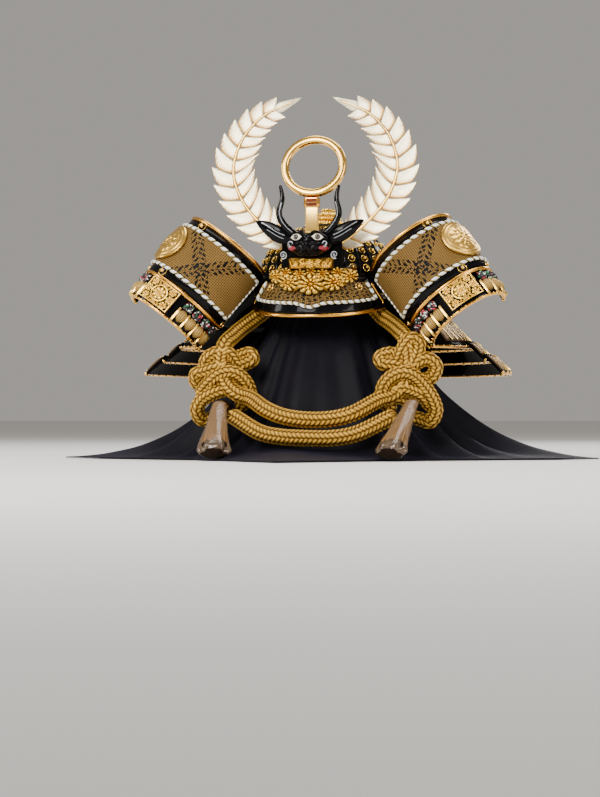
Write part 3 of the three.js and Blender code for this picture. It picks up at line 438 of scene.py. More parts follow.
cast_gold = gilt("cast_gold", (1.0, 0.64, 0.1), (0.07, 0.02, 0.002), 0.2)
rim_gold = gilt("rim_gold", (0.9, 0.45, 0.07), (0.2, 0.07, 0.01), 0.2, grain=0.1)
ring_gold = gilt("ring_gold", (0.95, 0.56, 0.12), (0.3, 0.13, 0.02), 0.12, grain=0.0, soft=0.02)
bright_gold = gilt("bright_gold", (1.0, 0.63, 0.14), (0.1, 0.034, 0.004), 0.24)
print("gold finishes made")

# %% [markdown]
# ## The chin cord
# The cord is a round braid of gold-brown silk, about 12.8 mm thick. It hangs from inside the bowl, passes
# a fancy knot on each side and runs across the front, and a second length joins the knots below it.
# A braid is a tube whose skin swells where a strand comes over: eight columns of slanting stitches, in which
# neighbouring columns slant opposite ways. The swelling of a stitch is sin(pi x its length)^0.6 times
# sin(pi x its width)^0.5. Doing this in the mesh, and not in a bump, keeps the outline knobbly.

# %% Braid
BRAID_CORE = 5.5
KNOT_CORE = 4.9
BRAID_PUFF = 1.0
BRAID_COLUMNS = 8
BRAID_PITCH = 3.3
BRAID_STEP = BRAID_PITCH / 6
BRAID_SIDES = 32


def stitches(line, sides, columns, pitch):
    """How far each skin point is swollen, 0 to 1. Stitch = fraction of (distance / pitch + place across the
    column, the sign changing from column to column)."""
    distance = gone(line)[:, None]
    place = columns * np.arange(sides)[None] / sides
    column, across = np.floor(place), place % 1
    leaning = np.where(column % 2 == 0, across, 1 - across)
    stitch = (distance / pitch + leaning + 0.5 * (column % 2)) % 1
    return np.sin(np.pi * stitch) ** 0.6 * np.sin(np.pi * np.clip(across, 0.04, 0.96)) ** 0.5


def braid(line, core=BRAID_CORE):
    """A tube whose radius is the core plus the puff of each stitch."""
    swell = stitches(line, BRAID_SIDES, BRAID_COLUMNS, BRAID_PITCH)
    return tube(line, core + BRAID_PUFF * swell, BRAID_SIDES, columns=BRAID_COLUMNS, relief=swell)


# %% [markdown]
# The strands carry the silk's gold colour as if lit, and the crevices between them are painted deep brown as
# shade, with more metallic there so that their reflection darkens too. Each strand is a bundle of threads,
# which a fine wave across the strand suggests in the bump.

# %% Silk braid finish
THREADS_A_STITCH = 5.0
SILK_BRIGHT, SILK_CREVICE_SHADE, SILK_SHINE = (0.95, 0.54, 0.07), (0.06, 0.018, 0.001), 0.35
gold_silk = Finish("gold_silk", Roughness=0.5, Specular_IOR_Level=0.35)
along, around = gold_silk.pair()
lean = abs((around % 2.0) - 1.0)
thread = ((along / BRAID_PITCH + lean) * (2 * np.pi * THREADS_A_STITCH)).sine()
# depth is 0 in the crevices between the strands, where the deep colour is painted shade
depth = gold_silk.between(gold_silk.relief(), 0.22, 0.95)
lit = gold_silk.mix(gold_silk.noise(180.0), SILK_BRIGHT, tuple(c * 0.75 for c in SILK_BRIGHT))
gold_silk.feed(
    Base_Color=gold_silk.mix(depth ** 1.3, SILK_CREVICE_SHADE, lit),
    Metallic=0.9 - depth * (0.9 - SILK_SHINE),
    Roughness=0.58 - depth * 0.2,
)
gold_silk.bump(thread * 0.5 + gold_silk.noise(3000.0) * 0.8, 0.12, 0.8)

# %% [markdown]
# The route's points are the CAD model's own. Between a drop and the crossing the cord passes through the
# knot, so three hidden points lead it through. It is one real length of cord, from one side of the bowl to
# the other, and a whole loop: both ends go back into the helmet.

# %% Cord routes
LEFT_DROP = [
    [-36.5, -29, 127], [-37.5, -29.5, 121], [-43, -33, 114], [-49.5, -38.5, 108], [-56.5, -49, 101],
    [-62, -61, 94], [-65.9, -74.4, 86.2],
]
RIGHT_DROP = [
    [36.5, -29, 127], [37.5, -29.5, 121], [43, -33, 114], [49.5, -38.5, 108], [57.5, -49, 103],
    [65.5, -61, 97], [72.3, -74.6, 89.6],
]
UPPER_CROSS = [
    [-44.1, -87, 46.65], [-28, -102, 38], [-14, -109, 33], [4, -112, 30.5], [22, -111, 31], [36, -106, 34.5],
    [54.8, -87.6, 45.7],
]
LOWER_CROSS = [
    [-54, -94.5, 32.5], [-31, -109, 21], [-15, -115, 18], [4, -118, 17], [24, -117, 17], [40, -111, 20],
    [63.8, -97, 31.9],
]
THROUGH_LEFT = [[-67.5, -80.5, 72], [-63, -84, 58.5], [-54.5, -86, 50.5]]
THROUGH_RIGHT = [[65, -84, 49.5], [73, -82.5, 60], [75, -79, 75]]
KNOT_CENTRES = {"left": np.array([-66.0, -79, 56]), "right": np.array([73.0, -79, 59.5])}
SLEEVES = {
    "left": (np.array([-66, -91.7, 41.9]), np.array([-63, -124, 8.5])),
    "right": (np.array([79.3, -92.1, 42.9]), np.array([69, -125, 8.5])),
}

# %% [markdown]
# ## The knots
# Each knot is the same braid laid in open loops, one over another. Its loops are drawn as offsets to the
# right, upwards and forwards from the middle of the knot, so a loop that passes in front is a few
# millimetres further forward than the one it covers.

# %% Knots
KNOT_LOOPS = {
    "left": [
        [(-16, -4, -2), (-9, 3.5, 4), (-2, 8.5, 6), (6, 10, 7), (13, 7, 6), (18.5, 0, 4), (20, -8, 0),
         (14, -14, -5)],
        [(6, -4, -3), (8, -2.5, 2), (1, -3, 5), (-8, -6, 5), (-16, -11, 3), (-19.5, -18, 1), (-16, -25, -3),
         (-8, -24, -7), (0, -16, -8)],
        [(10, 16, -4), (4, 24, -2), (-5, 24.5, -1), (-12, 20, -3), (-14, 13, -6)],
        [(2, 15, 1), (-6, 13, 3), (-14, 10.5, 2), (-20, 8.5, 0), (-20, 3, -3), (-12, 1, -6)],
        [(10, 14, -5), (17, 17, -4), (22, 20, -4), (20, 24, -6), (12, 22, -8)],
    ],
    "right": [
        [(-12, -20, -5), (-17.5, -12, 1), (-16.5, -4, 4), (-11, 2.5, 6), (-2, 5.8, 7), (6, 3, 6), (13, -4, 5),
         (19, -13, 4), (22, -22, 1), (18, -30, -3), (9, -28, -7)],
        [(2, -14, -4), (-6.5, -11, 1), (-7.5, -7, 3.5), (-2, -5.5, 4.5), (5, -7.5, 4), (12, -11, 3),
         (17, -17, -1)],
        [(-6, 14, -3), (-2, 24, -1), (4, 31, -1), (9, 28, -1), (8, 20, 1), (4, 12, 2), (0, 4, -1)],
        [(-2, 10, -2), (-10, 12, -1), (-17, 13, -2), (-19, 17, -4), (-12, 20, -6), (-4, 18, -7)],
        [(2, 8, -1), (9, 14, 1), (16, 16, 1), (22, 11, 0), (19, 3, -2), (11, 1, -4), (4, 4, -5)],
    ],
}


def from_offsets(centre, offsets):
    """centre + right x a + up x b + forwards x c."""
    return centre + np.asarray(offsets, float) @ np.stack([RIGHT, UP, FRONT])


for side_name, centre in KNOT_CENTRES.items():
    loops = [
        braid(smooth_line(from_offsets(centre, loop), BRAID_STEP), KNOT_CORE) for loop in KNOT_LOOPS[side_name]
    ]
    piece(
        f"braided_knot_{side_name}", [(joined(loops), gold_silk)], [f"knot_{side_name}"],
    )

# %% [markdown]
# ## The tassels and their sleeves
# The cord ends in tassels that are still in the clear film sleeves they were packed in. A sleeve is a
# flattened cone that opens downwards and has gone soft and creased. The tassel inside is a bundle of
# gold-brown threads.

# %% Tassel and sleeve finishes
film = Finish(
    "clear_film", Base_Color=(0.3, 0.2, 0.12, 1), Roughness=0.08, Alpha=0.32, Specular_IOR_Level=1.0,
    Coat_Weight=1.0, Coat_Roughness=0.04,
)
crumple = film.noise(120.0, detail=4.0)
film.bump(crumple, 1.6, 1.0)
thread_silk = Finish("tassel_threads", Roughness=0.45, Metallic=0.3)
tassel_around = thread_silk.pair()[1]
# The threads are gold-brown, with painted near-black shade in the gaps between them
threads = abs((tassel_around * 2 * np.pi).sine())
thread_silk.feed(Base_Color=thread_silk.mix(threads, (0.02, 0.006, 0.001), (0.34, 0.155, 0.022)))
thread_silk.bump(threads + thread_silk.noise(1500.0) * 0.5, 0.5)

shadowed = mottled(
    "tassel_shadow", 900.0, (0.003, 0.0015, 0.0008), (0.014, 0.006, 0.002),
    Roughness=0.8, Specular_IOR_Level=0.1,
)

# %% Tassels
SLEEVE_FLATNESS, SLEEVE_RINGS, SLEEVE_SIDES = 0.55, 34, 48


def creased_cone(top, end, start_radius, end_radius, creases, depth, columns):
    """radius = start to end along the cone, times 1 + depth x share x two waves round it that drift."""
    share = np.linspace(0, 1, SLEEVE_RINGS)[:, None]
    turn = round_turn(SLEEVE_SIDES)[None]
    wave = np.sin(creases * turn + 3 * share) * 0.6 + np.sin((creases + 3) * turn - 5 * share) * 0.4
    radius = (start_radius + (end_radius - start_radius) * share**1.15) * (1 + depth * share * wave)
    relief = 0.6 + 0.4 * wave
    line = top + (end - top) * share
    return tube(line, radius, SLEEVE_SIDES, UP, columns=columns, relief=relief, flat=(1, SLEEVE_FLATNESS))


tassels, sleeves = {}, {}
for side_name, (top, end) in SLEEVES.items():
    place = lambda share: top + (end - top) * share
    bundle = creased_cone(top, place(0.86), 4.8, 9.6, 9, 0.14, 16)
    mouth = creased_cone(place(0.865), place(1.03), 9.4, 10.7, 3, 0.2, 1)
    tassels[side_name] = piece(f"tassel_{side_name}", [(bundle, thread_silk), (mouth, shadowed)])
    sleeves[side_name] = piece(
        f"sleeve_{side_name}", [(creased_cone(top, end, 5.6, 12.0, 3, 0.2, 1), film)],
        [f"tassel_sleeve_{side_name}"],
    )

# %% Chin cord
chin_line = smooth_line(
    LEFT_DROP + THROUGH_LEFT + UPPER_CROSS + THROUGH_RIGHT + RIGHT_DROP[::-1], BRAID_STEP,
)
lower_line = smooth_line(LOWER_CROSS, BRAID_STEP)
print("chin cord", round(length_of(chin_line)), "mm, lower strand", round(length_of(lower_line)), "mm")
chin_cord = piece(
    "chin_cord", [(braid(chin_line), gold_silk)],
    ["cord_drop_left", "cord_drop_right", "cord_cross_upper"],
)
lower_strand = piece("chin_cord_lower", [(braid(lower_line), gold_silk)], ["cord_cross_lower"])

# %% [markdown]
# ## The stand and its cloth
# The stand is a plain turned wooden form. A square of navy silk lies over it, with its corners to the sides,
# front and back. The cloth is a function of the turn about the middle and the distance down: it lies on
# the dome, then stands off the form more and more, towards a corner more than towards an edge, and its
# folds are cosine waves whose depth grows downwards. A simulation would not repeat the folds seen in the
# photograph, so the folds are placed by formula.

# %% Cloth surface
CORE_TOP_RADIUS, CORE_BASE_RADIUS, SHOULDER_Z, CORE_TOP_Z = 34.0, 52.0, 136.0, 177.7
CORNER_REACH, EDGE_REACH, FOLD_DEPTH = 156.0, 70.0, 9.0
MAIN_FOLDS, SMALL_FOLDS, SMALL_DEPTH = 11, 24, 1.15
CLOTH_WALL, CLOTH_GAP, CLOTH_TURNS, CLOTH_SIDE = 0.9, 1.5, 240, 0.43
# Height as a share of the shoulder's, then the standing off towards an edge, a corner, the front corner,
# and the fold depth, each as a share of its full amount
CLOTH_ROWS = np.array([
    (1.0, 0, 0, 0, 0), (0.8, 0.02, 0.01, 0.01, 0.12), (0.58, 0.2, 0.09, 0.11, 0.5),
    (0.36, 0.34, 0.2, 0.2, 0.75), (0.18, 0.5, 0.36, 0.22, 0.9), (0.075, 0.66, 0.54, 0.29, 0.9),
    (0.025, 0.8, 0.72, 0.56, 0.8), (0.006, 0.92, 0.88, 0.8, 0.4), (0.0, 1.0, 1.0, 1.0, 0),
])


def eased(rows, count):
    """The table's rows at `count` places between its first and last, eased by smooth cubic pieces."""
    at = np.arange(len(rows), dtype=float)
    slopes = np.gradient(rows, at, axis=0)
    fine = np.linspace(0, len(rows) - 1, count)
    k = np.minimum(fine.astype(int), len(rows) - 2)
    return cubic(rows, slopes, k, (fine - k)[:, None])


turn = round_turn(CLOTH_TURNS)[None]
quarter = np.pi / 2
off = np.abs(turn / quarter - np.round(turn / quarter)) * quarter
corner_radius, edge_radius = CORE_BASE_RADIUS + CORNER_REACH, CORE_BASE_RADIUS + EDGE_REACH
outline = 1 / (np.cos(off) / corner_radius + np.sin(off) * (np.sqrt(2) / edge_radius - 1 / corner_radius))
corner_share = (outline - edge_radius) / (corner_radius - edge_radius)
front_share = np.maximum(0, -np.sin(turn)) ** 2

height, edge, corner, front_corner, fold = (column[:, None] for column in eased(CLOTH_ROWS, 110).T)
cloth_z = np.maximum(height, 0) * SHOULDER_Z
core = CORE_BASE_RADIUS + (CORE_TOP_RADIUS - CORE_BASE_RADIUS) * cloth_z / SHOULDER_Z
reach = (corner + (front_corner - corner) * front_share) * CORNER_REACH
standing = edge * EDGE_REACH + (reach - edge * EDGE_REACH) * corner_share
ripple = np.cos(MAIN_FOLDS * turn + 0.8 * np.sin(2 * turn))
small = np.cos(SMALL_FOLDS * turn + 2.2 * np.sin(3 * turn) + 1.5 * height) * (1 - 0.85 * front_share)
folded = fold * FOLD_DEPTH * (0.5 * (1 + ripple) + SMALL_DEPTH * small)
skirt = about_z(core + CLOTH_GAP + standing + folded, turn, cloth_z + CLOTH_GAP)

dome_turn = np.linspace(1, 0, 16)[:-1, None] * quarter
dome_radius = (CORE_TOP_RADIUS + CLOTH_GAP) * np.cos(dome_turn)
cloth_points = np.concatenate([
    about_z(dome_radius, turn, SHOULDER_Z + (CORE_TOP_Z - SHOULDER_Z) * np.sin(dome_turn)), skirt,
])
print("cloth folds", round(float(folded.max()), 1), "mm deep")

# %% [markdown]
# Navy silk looks almost black. It has a faint warm sheen along the folds, and a weave too fine to see as
# threads, so the weave is only a bump of two crossed waves.

# %% Cloth finish and piece
navy_silk = Finish(
    "navy_silk", Roughness=0.6, Sheen_Weight=0.05, Sheen_Roughness=0.4, Sheen_Tint=(0.5, 0.5, 0.9, 1),
    Specular_IOR_Level=0.15,
)
weave_x, weave_y = navy_silk.pair()
weave = (weave_x * 900.0).sine() * (weave_y * 2600.0).sine()
navy_silk.feed(
    Base_Color=navy_silk.mix(navy_silk.noise(60.0), (0.0016, 0.0014, 0.0036), (0.0036, 0.003, 0.0075)),
)
navy_silk.bump(weave * 0.3 + navy_silk.noise(2400.0) * 0.4 + navy_silk.noise(90.0) * 2.0, 0.35, 0.5)

cloth_shape = net(cloth_points, (False, True)).outward()
a, b, c, d = cloth_shape.face_corners()
cloth_area = sum(np.linalg.norm(np.cross(p - a, q - a), axis=1).sum() for p, q in ((b, c), (c, d))) / 2
print("cloth surface", round(cloth_area * 1e-6, 4), "square metres")
draped_cloth = piece(
    "draped_cloth", [(cloth_shape, navy_silk)], ["stand_cloth"], wall=CLOTH_WALL,
)

# %% Wooden form
turned_wood = Finish("turned_wood", Roughness=0.5)
grain = turned_wood.noise(90.0, vector=turned_wood.stretched((1, 1, 0.12)), detail=5.0)
rings = ((turned_wood.noise(40.0, vector=turned_wood.stretched((1, 1, 0.2))) * 60.0).sine() + 1.0) * 0.5
turned_wood.feed(
    Base_Color=turned_wood.mix(rings * 0.4 + grain * 0.6, (0.62, 0.42, 0.22), (0.42, 0.25, 0.11)),
)
turned_wood.bump(grain, 0.2)
core_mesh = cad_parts["stand_core"].data
for index in range(len(core_mesh.materials)):
    core_mesh.materials[index] = turned_wood.material

# %% [markdown]
# ## Surfaces, plates and studs
# Most of the helmet is thin plates on curved surfaces. A surface is a function of u and v, and its normal is
# the cross product of its two slopes. A relief plate raises the net along the normal by a height in
# millimetres. Studs and rivets are one small turned shape that is copied to many places at once.

# %% Plates, turned shapes and copies
def facing(shape, direction):
    """Turned over if its faces look away from the direction on the whole."""
    a, b, c, d = shape.face_corners()
    normal = np.cross(c - a, d - b).sum(0)
    return shape if normal @ np.asarray(direction, float) > 0 else shape.turned_over()


def normals_of(surface, u, v, step=1e-3):
    """unit(d/du x d/dv), from small steps."""
    along_u = surface(u + step, v) - surface(u - step, v)
    along_v = surface(u, v + step) - surface(u, v - step)
    return unit(np.cross(along_u, along_v))


def over(surface, u, v, lift):
    """surface(u, v) + lift x normal."""
    u, v = np.broadcast_arrays(np.asarray(u, float), np.asarray(v, float))
    return surface(u, v) + normals_of(surface, u, v) * np.broadcast_to(lift, u.shape)[..., None]


def plate(surface, us, vs, lift=0.0, relief=None, keep=None, scale=(1, 1)):
    """The points over the surface on every pair of us and vs, whose (u, v) pairs are multiplied by scale."""
    points = over(surface, *crossed(us, vs), lift)
    return net(points, us=us * scale[0], vs=vs * scale[1], relief=relief, keep=keep)


def middles(grid_values):
    """The value at the middle of each face, from the values at its corners."""
    g = grid_values
    return (g[1:, 1:] + g[:-1, 1:] + g[1:, :-1] + g[:-1, :-1]) / 4


def turned(profile, sides, flutes=0, depth=0.0, relief=None):
    """(radius, height) pairs turned about z. The radius is multiplied by
    1 - depth x (1 - |sin(flutes turn / 2)|)."""
    radius, height = np.asarray(profile, float).T[:, :, None]
    turn = round_turn(sides)[None]
    groove = np.abs(np.sin(flutes * turn / 2)) if flutes else 0 * turn
    r = radius * (1 - depth * (1 - groove))
    points = about_z(r, turn, height)
    if relief is not None:
        relief = np.asarray(relief, float)[:, None] + 0 * turn
    elif flutes:
        # low relief in the flute hollows, where the gold is painted with shade
        relief = 0.25 + 0.75 * groove + 0 * radius
    return net(points, (False, True), relief=relief).outward()


def placed(template, origins, normals, ahead, sizes=1.0):
    """Copies of a small shape: origin + size x (x ahead + y (normal x ahead) + z normal)."""
    origins, normals = np.atleast_2d(origins), unit(np.atleast_2d(normals))
    side = unit(np.cross(normals, np.broadcast_to(ahead, normals.shape)))
    axes = np.stack([np.cross(side, normals), side, normals], 1)
    sizes = np.broadcast_to(sizes, len(origins))[:, None, None]
    points = origins[:, None] + sizes * np.einsum("pk,nkc->npc", template.points, axes)
    n, k = points.shape[:2]
    faces = (template.faces[None] + (np.arange(n) * k)[:, None, None]).reshape(-1, 4)
    return Shape(
        points.reshape(-1, 3), faces, np.tile(template.corners, (n, 1, 1)), np.tile(template.relief, n)
    ).outward()


BAR_BEVEL = 0.3


def bar(line, half_width, half_depth, reference=(0, -1, 0), sides=40):
    """A tube whose section is a rounded rectangle, |x / a|^8 + |y / b|^8 = 1, with flat bevelled ends."""
    turn = round_turn(sides)
    radius = (np.abs(np.cos(turn) / half_width) ** 8 + np.abs(np.sin(turn) / half_depth) ** 8) ** (-1 / 8)
    ahead, side, top = directions(np.asarray(line, float), reference)
    ends = np.asarray(line, float)
    ends = np.concatenate([
        ends[:1], ends[:1] + BAR_BEVEL * ahead[:1], ends[1:-1], ends[-1:] - BAR_BEVEL * ahead[-1:], ends[-1:],
    ])
    shrink = np.ones(len(ends))
    shrink[[0, -1]] = 1 - BAR_BEVEL / max(half_width, half_depth)
    rows = lambda a: np.concatenate([a[:1], a[:1], a[1:-1], a[-1:], a[-1:]])
    side, top = rows(side), rows(top)
    points = ends[:, None] + (shrink[:, None] * radius)[..., None] * (
        np.cos(turn)[:, None] * side[:, None] + np.sin(turn)[:, None] * top[:, None]
    )
    points = np.concatenate([0 * points[:1] + ends[0], points, 0 * points[:1] + ends[-1]])
    return net(points, (False, True)).outward()


# A thin ring and, standing free in the middle of it, a small ball
# Low relief at the foot of the ring and of the ball is painted as shade by the gold
STUD = joined([
    turned([(2.75, -0.2), (2.8, 0.3), (3.05, 0.5), (3.3, 0.3), (3.35, -0.2)], 14, relief=[0.1, 0.8, 1, 1, 0.2]),
    turned([(1.0, -0.3), (1.3, 0.8), (1.25, 1.5), (0.8, 2.1), (0, 2.3)], 10, relief=[0.05, 0.5, 0.9, 1, 1]),
])

# %% [markdown]
# ### Lacquer
# The plates are black lacquer over metal: deep, glossy and slightly wavy, with a faint brown warmth. It is
# a dark base under a clear coat.

# %% Lacquer finishes
black_lacquer = Finish(
    "black_lacquer", Roughness=0.28, Coat_Weight=0.2, Coat_Roughness=0.05, Specular_IOR_Level=0.02,
)
haze = black_lacquer.noise(160.0)
black_lacquer.feed(
    Base_Color=black_lacquer.mix(haze, (0.0012, 0.0012, 0.0015), (0.0035, 0.003, 0.0035)),
    Roughness=haze * 0.14 + 0.2,
)
black_lacquer.bump(black_lacquer.noise(120.0) + haze, 0.05, 0.7)
soft_lacquer = Finish(
    "soft_lacquer", Roughness=0.5, Coat_Weight=0.05, Coat_Roughness=0.1, Specular_IOR_Level=0.0,
)
worn = soft_lacquer.noise(140.0, detail=4.0)
soft_lacquer.feed(
    Base_Color=soft_lacquer.mix(worn, (0.001, 0.001, 0.0012), (0.005, 0.0035, 0.002)),
    Roughness=worn * 0.2 + 0.4,
)
soft_lacquer.bump(worn, 0.1, 0.7)

# %% [markdown]
# ## The bowl
# The bowl is made of plates that meet in standing ribs, and rows of gilt studs, each a ball inside a thin
# ring, run up every plate. The outline is a superellipse, |r / a|^2.3 + |z / b|^2.3 = 1, a little fuller
# than a ball. The studs are placed by the same formula, so they sit on the surface exactly.

# %% Bowl
BOWL_HALF_WIDTH, BOWL_LENGTHEN, BOWL_RIM_Z, BOWL_HEIGHT, BOWL_POWER = 54.0, 58 / 54, 126.0, 55.0, 2 / 2.3
BOWL_PLATES, BOWL_WALL = 28, 1.5
LENGTHENED = np.array([1, BOWL_LENGTHEN, 1])


def bowl_surface(u, v):
    """u turns (0 to 1), v climbs from the rim (0) to the top (1)."""
    turn, climb = 2 * np.pi * u, np.clip(v, 0, 1) * np.pi / 2
    radius = BOWL_HALF_WIDTH * np.clip(np.cos(climb), 0, 1) ** BOWL_POWER
    height = BOWL_RIM_Z + BOWL_HEIGHT * np.sin(climb) ** BOWL_POWER
    return about_z(radius, turn, height) * LENGTHENED


bowl_us, bowl_vs = np.arange(BOWL_PLATES * 6) / (BOWL_PLATES * 6), np.linspace(0, 1, 24)
u, v = crossed(bowl_us, bowl_vs)
bowl_shape = net(bowl_surface(u, v), (True, False)).outward()

stud_rows = np.array([0.2, 0.29, 0.38, 0.47, 0.56, 0.65, 0.735])
u, v = (a.ravel() for a in crossed((np.arange(BOWL_PLATES) + 0.5) / BOWL_PLATES, stud_rows))
stud_places = bowl_surface(u, v)
stud_normals = unit(stud_places - [0, 0, 128.0])
bowl_studs = placed(STUD, stud_places, stud_normals, UP, 1.0 - 0.45 * v)
rib_climb = np.linspace(0.1, 0.86, 22)
ribs = [
    tube(bowl_surface(turn / (2 * np.pi), rib_climb), 0.75, 6, (-np.sin(turn), np.cos(turn), 0))
    for turn in 2 * np.pi * (np.arange(BOWL_PLATES) / BOWL_PLATES)
]
piece("bowl_shell", [(bowl_shape, black_lacquer)], ["bowl"], wall=BOWL_WALL)
piece("bowl_ribs", [(joined(ribs), black_lacquer)])
piece("bowl_studs", [(bowl_studs, cast_gold)])

# %% Band round the bowl's rim
band_profile = [
    (54.3, 126.1), (55.2, 126.0), (56.2, 126.2), (56.5, 126.7), (56.5, 138.3), (56.2, 138.8), (55.2, 139),
    (54.3, 138.9), (54.3, 126.1),
]
band = turned(band_profile, 120).moved(lambda p: p * LENGTHENED)
edge_turn = round_turn(120)
band_edge = tube(about_z(56.2, edge_turn, 126.6) * LENGTHENED, 0.8, 8, UP, closed=True)
piece("rim_band", [(band, black_lacquer), (band_edge, rim_gold)], ["bowl_band"])

# %% [markdown]
# ## The crown fitting
# At the top a stack of small gilt collars closes the bowl's hole: a chrysanthemum-shaped foot, a beaded
# collar and a plain neck. The foot's petals are flutes cut into a turned profile.

# %% Crown fitting
CROWN_FOOT_Z = 181.3
foot = [(0, 0.2), (13, 0.2), (13.0, 0.8), (12.6, 1.6), (11.4, 2.3), (9.6, 2.8), (0, 2.9)]
collar = [(0, 2.7), (9.4, 2.7), (10.2, 3.4), (10.3, 4.6), (9.4, 5.4), (7.4, 5.9), (0, 6)]
second = [(0, 5.8), (7.4, 6.0), (8.1, 6.8), (8.2, 8.0), (7.2, 8.9), (5.6, 9.5), (0, 9.6)]
neck = [
    (0, 9.4), (5.5, 9.4), (5.4, 10.4), (5.9, 11.4), (5.7, 12), (4.0, 12.0), (3.0, 11.4), (2.7, 9.8), (0, 9.2),
]
lift = lambda p: p + [0, 0, CROWN_FOOT_Z]
crown = joined([
    turned(foot, 128, flutes=32, depth=0.09), turned(collar, 128, flutes=64, depth=0.06),
    turned(second, 96, flutes=24, depth=0.09), turned(neck, 64, relief=[0.3, 0.4, 0.6, 1, 1, 0.9, 0.4, 0.1, 0]),
]).moved(lift)
piece("crown_collars", [(crown, cast_gold)], ["crown_fitting"])

# %% [markdown]
# ## The visor
# The visor is a sloping crescent: black lacquer with a gilt rim, printed leather in the middle, and a row
# of slanting white stitches that follows the edge and dips to a point in front. Its surface runs between
# two arcs, the root on the band and the front edge, with a slight bulge between them.

# %% Visor surface
ROOT_HALF_WIDTH, ROOT_HALF_LENGTH, VISOR_ROOT_Z = 58.7, 62.885, 138.0
EDGE_CENTRE_Y = -0.3 * ROOT_HALF_LENGTH
VISOR_REACH = ROOT_HALF_LENGTH + 17.5 + EDGE_CENTRE_Y
EDGE_ANGLE, ROOT_ANGLE = np.radians(68), np.radians(40)


def visor_surface(u, v):
    """root + v (edge - root) + a bulge of 1.6 sin(pi v), with u from the left end (0) to the right end (1)."""
    swing = 2 * u - 1
    drop = 28 - 8 * np.abs(swing) ** 2.5
    root = xyz(
        ROOT_HALF_WIDTH * np.sin(ROOT_ANGLE * swing), -ROOT_HALF_LENGTH * np.cos(ROOT_ANGLE * swing),
        VISOR_ROOT_Z,
    )
    edge = xyz(
        50 / np.sin(EDGE_ANGLE) * np.sin(EDGE_ANGLE * swing),
        EDGE_CENTRE_Y - VISOR_REACH * np.cos(EDGE_ANGLE * swing), VISOR_ROOT_Z - drop,
    )
    bulge = 1.6 * np.sin(np.pi * np.clip(v, 0, 1)) * (1 - 0.5 * swing**2)
    return root + (edge - root) * v[..., None] + bulge[..., None] * [0, -1, 1]


def on_visor(u, v, height):
    """A point at a height over the visor. Its raised side looks forwards and up, against its normal."""
    return over(visor_surface, u, v, -height)


# %% [markdown]
# ### Printed leather
# The leather is smoked deerskin, tan to olive, printed with small dots in black, and with broader bands of
# broken black scrollwork. The dots are a square grid turned by 45 degrees. The scrollwork is the sign of a
# bent wave, cut off at the edges of its band. The pattern runs on the piece's own u and v in millimetres.

# %% Printed leather finish
def printed_leather(name, bands):
    """bands(along, across) gives, for each scroll band, the distance across it, the distance along it and
    its half width. Strokes = sine of (distance along + distance from its middle), so they branch."""
    finish = Finish(name, Roughness=0.6, Specular_IOR_Level=0.08)
    along, across = finish.pair()
    stain = finish.noise(55.0, detail=4.0)
    wander = finish.noise(420.0, detail=1.0) - 0.5
    dots = finish.between(((along + across) * 2.0).sine() * ((along - across) * 2.0).sine(), 0.05, 0.35)
    black = None
    for off, run, half_width in bands(along, across):
        inside = finish.between(half_width - abs(off), 0.0, 0.15)
        branch = (run * 1.5 + abs(off) * 1.1 + wander * 5.0).sine()
        gaps = ((run * 0.6 + off * 1.5) + wander * 4.0).sine()
        strokes = finish.between(branch, -0.3, 0.0) * finish.between(gaps, -0.85, -0.65)
        marks = inside * strokes * finish.between(abs(off), 0.25, 0.5)
        black = marks if black is None else black.highest(marks)
    ground = finish.mix(stain, (0.27, 0.155, 0.042), (0.15, 0.084, 0.02))
    dotted = finish.mix(dots, ground, (0.04, 0.022, 0.006))
    finish.feed(Base_Color=finish.mix(black, dotted, (0.003, 0.003, 0.003)), Roughness=0.62 - black * 0.15)
    finish.bump(finish.noise(1500.0) * 0.6 + dots * 0.25 - black * 0.5, 0.12, 0.7)
    return finish


def repeated(value, centre, period):
    """Distance from the nearest of many lines, `period` apart, one of them at the centre."""
    return (value - centre + period / 2) % period - period / 2


visor_leather = printed_leather(
    "visor_leather", lambda along, across: [(repeated(across, 3.0, 7.0), along, 3.2)],
)

# %% Visor pieces
pale_braid = Finish("pale_braid", Roughness=0.5, Sheen_Weight=0.2)
# Near black at the lowest relief is painted shade between the stitches; the olive at middling relief is the
# braid's own colour and white is the stitches
strand_depth = pale_braid.between(pale_braid.relief(), 0.05, 0.35)
strand_tone = pale_braid.mix(
    pale_braid.between(pale_braid.relief(), 0.3, 0.6), (0.5, 0.38, 0.03), (0.95, 0.96, 0.93),
)
pale_braid.feed(Base_Color=pale_braid.mix(strand_depth, (0.008, 0.009, 0.006), strand_tone))
pale_braid.bump(pale_braid.noise(2600.0), 0.1, 0.6)


ROPE_SLANT, ROPE_SIDES = 0.55, 12


def rope(line, radius, pitch, reference=FRONT):
    """A row of long slanting stitches: radius x (0.5 + 0.5 |sin(pi distance / pitch + slant sin turn)|^0.5)."""
    distance = gone(line)[:, None]
    turn = round_turn(ROPE_SIDES)[None]
    swell = np.abs(np.sin(np.pi * distance / pitch + ROPE_SLANT * np.sin(turn))) ** 0.5
    return tube(line, radius * (0.5 + 0.5 * swell), ROPE_SIDES, reference, relief=swell**3)


PEAK_DIP, PEAK_WIDTH = 0.1, 0.13
visor_us, visor_vs = np.linspace(0, 1, 72), np.linspace(0, 1, 20)
visor_body = facing(plate(visor_surface, visor_us, visor_vs), (0, -1, 1))
leather_us, leather_vs = np.linspace(0.045, 0.955, 90), np.linspace(0.2, 0.8, 24)
u, v = crossed(leather_us, leather_vs)
dip = 0.76 + PEAK_DIP * bell(2 * u - 1, PEAK_WIDTH)
v = 0.2 + (dip - 0.2) * (v - 0.2) / 0.6
leather_net = facing(net(on_visor(u, v, 0.35), us=leather_us * 110, vs=leather_vs * 34), (0, -1, 1))
piece("visor_plate", [(visor_body, black_lacquer)], ["visor"], wall=1.6)
piece("visor_leather", [(leather_net, visor_leather)], wall=0.3)

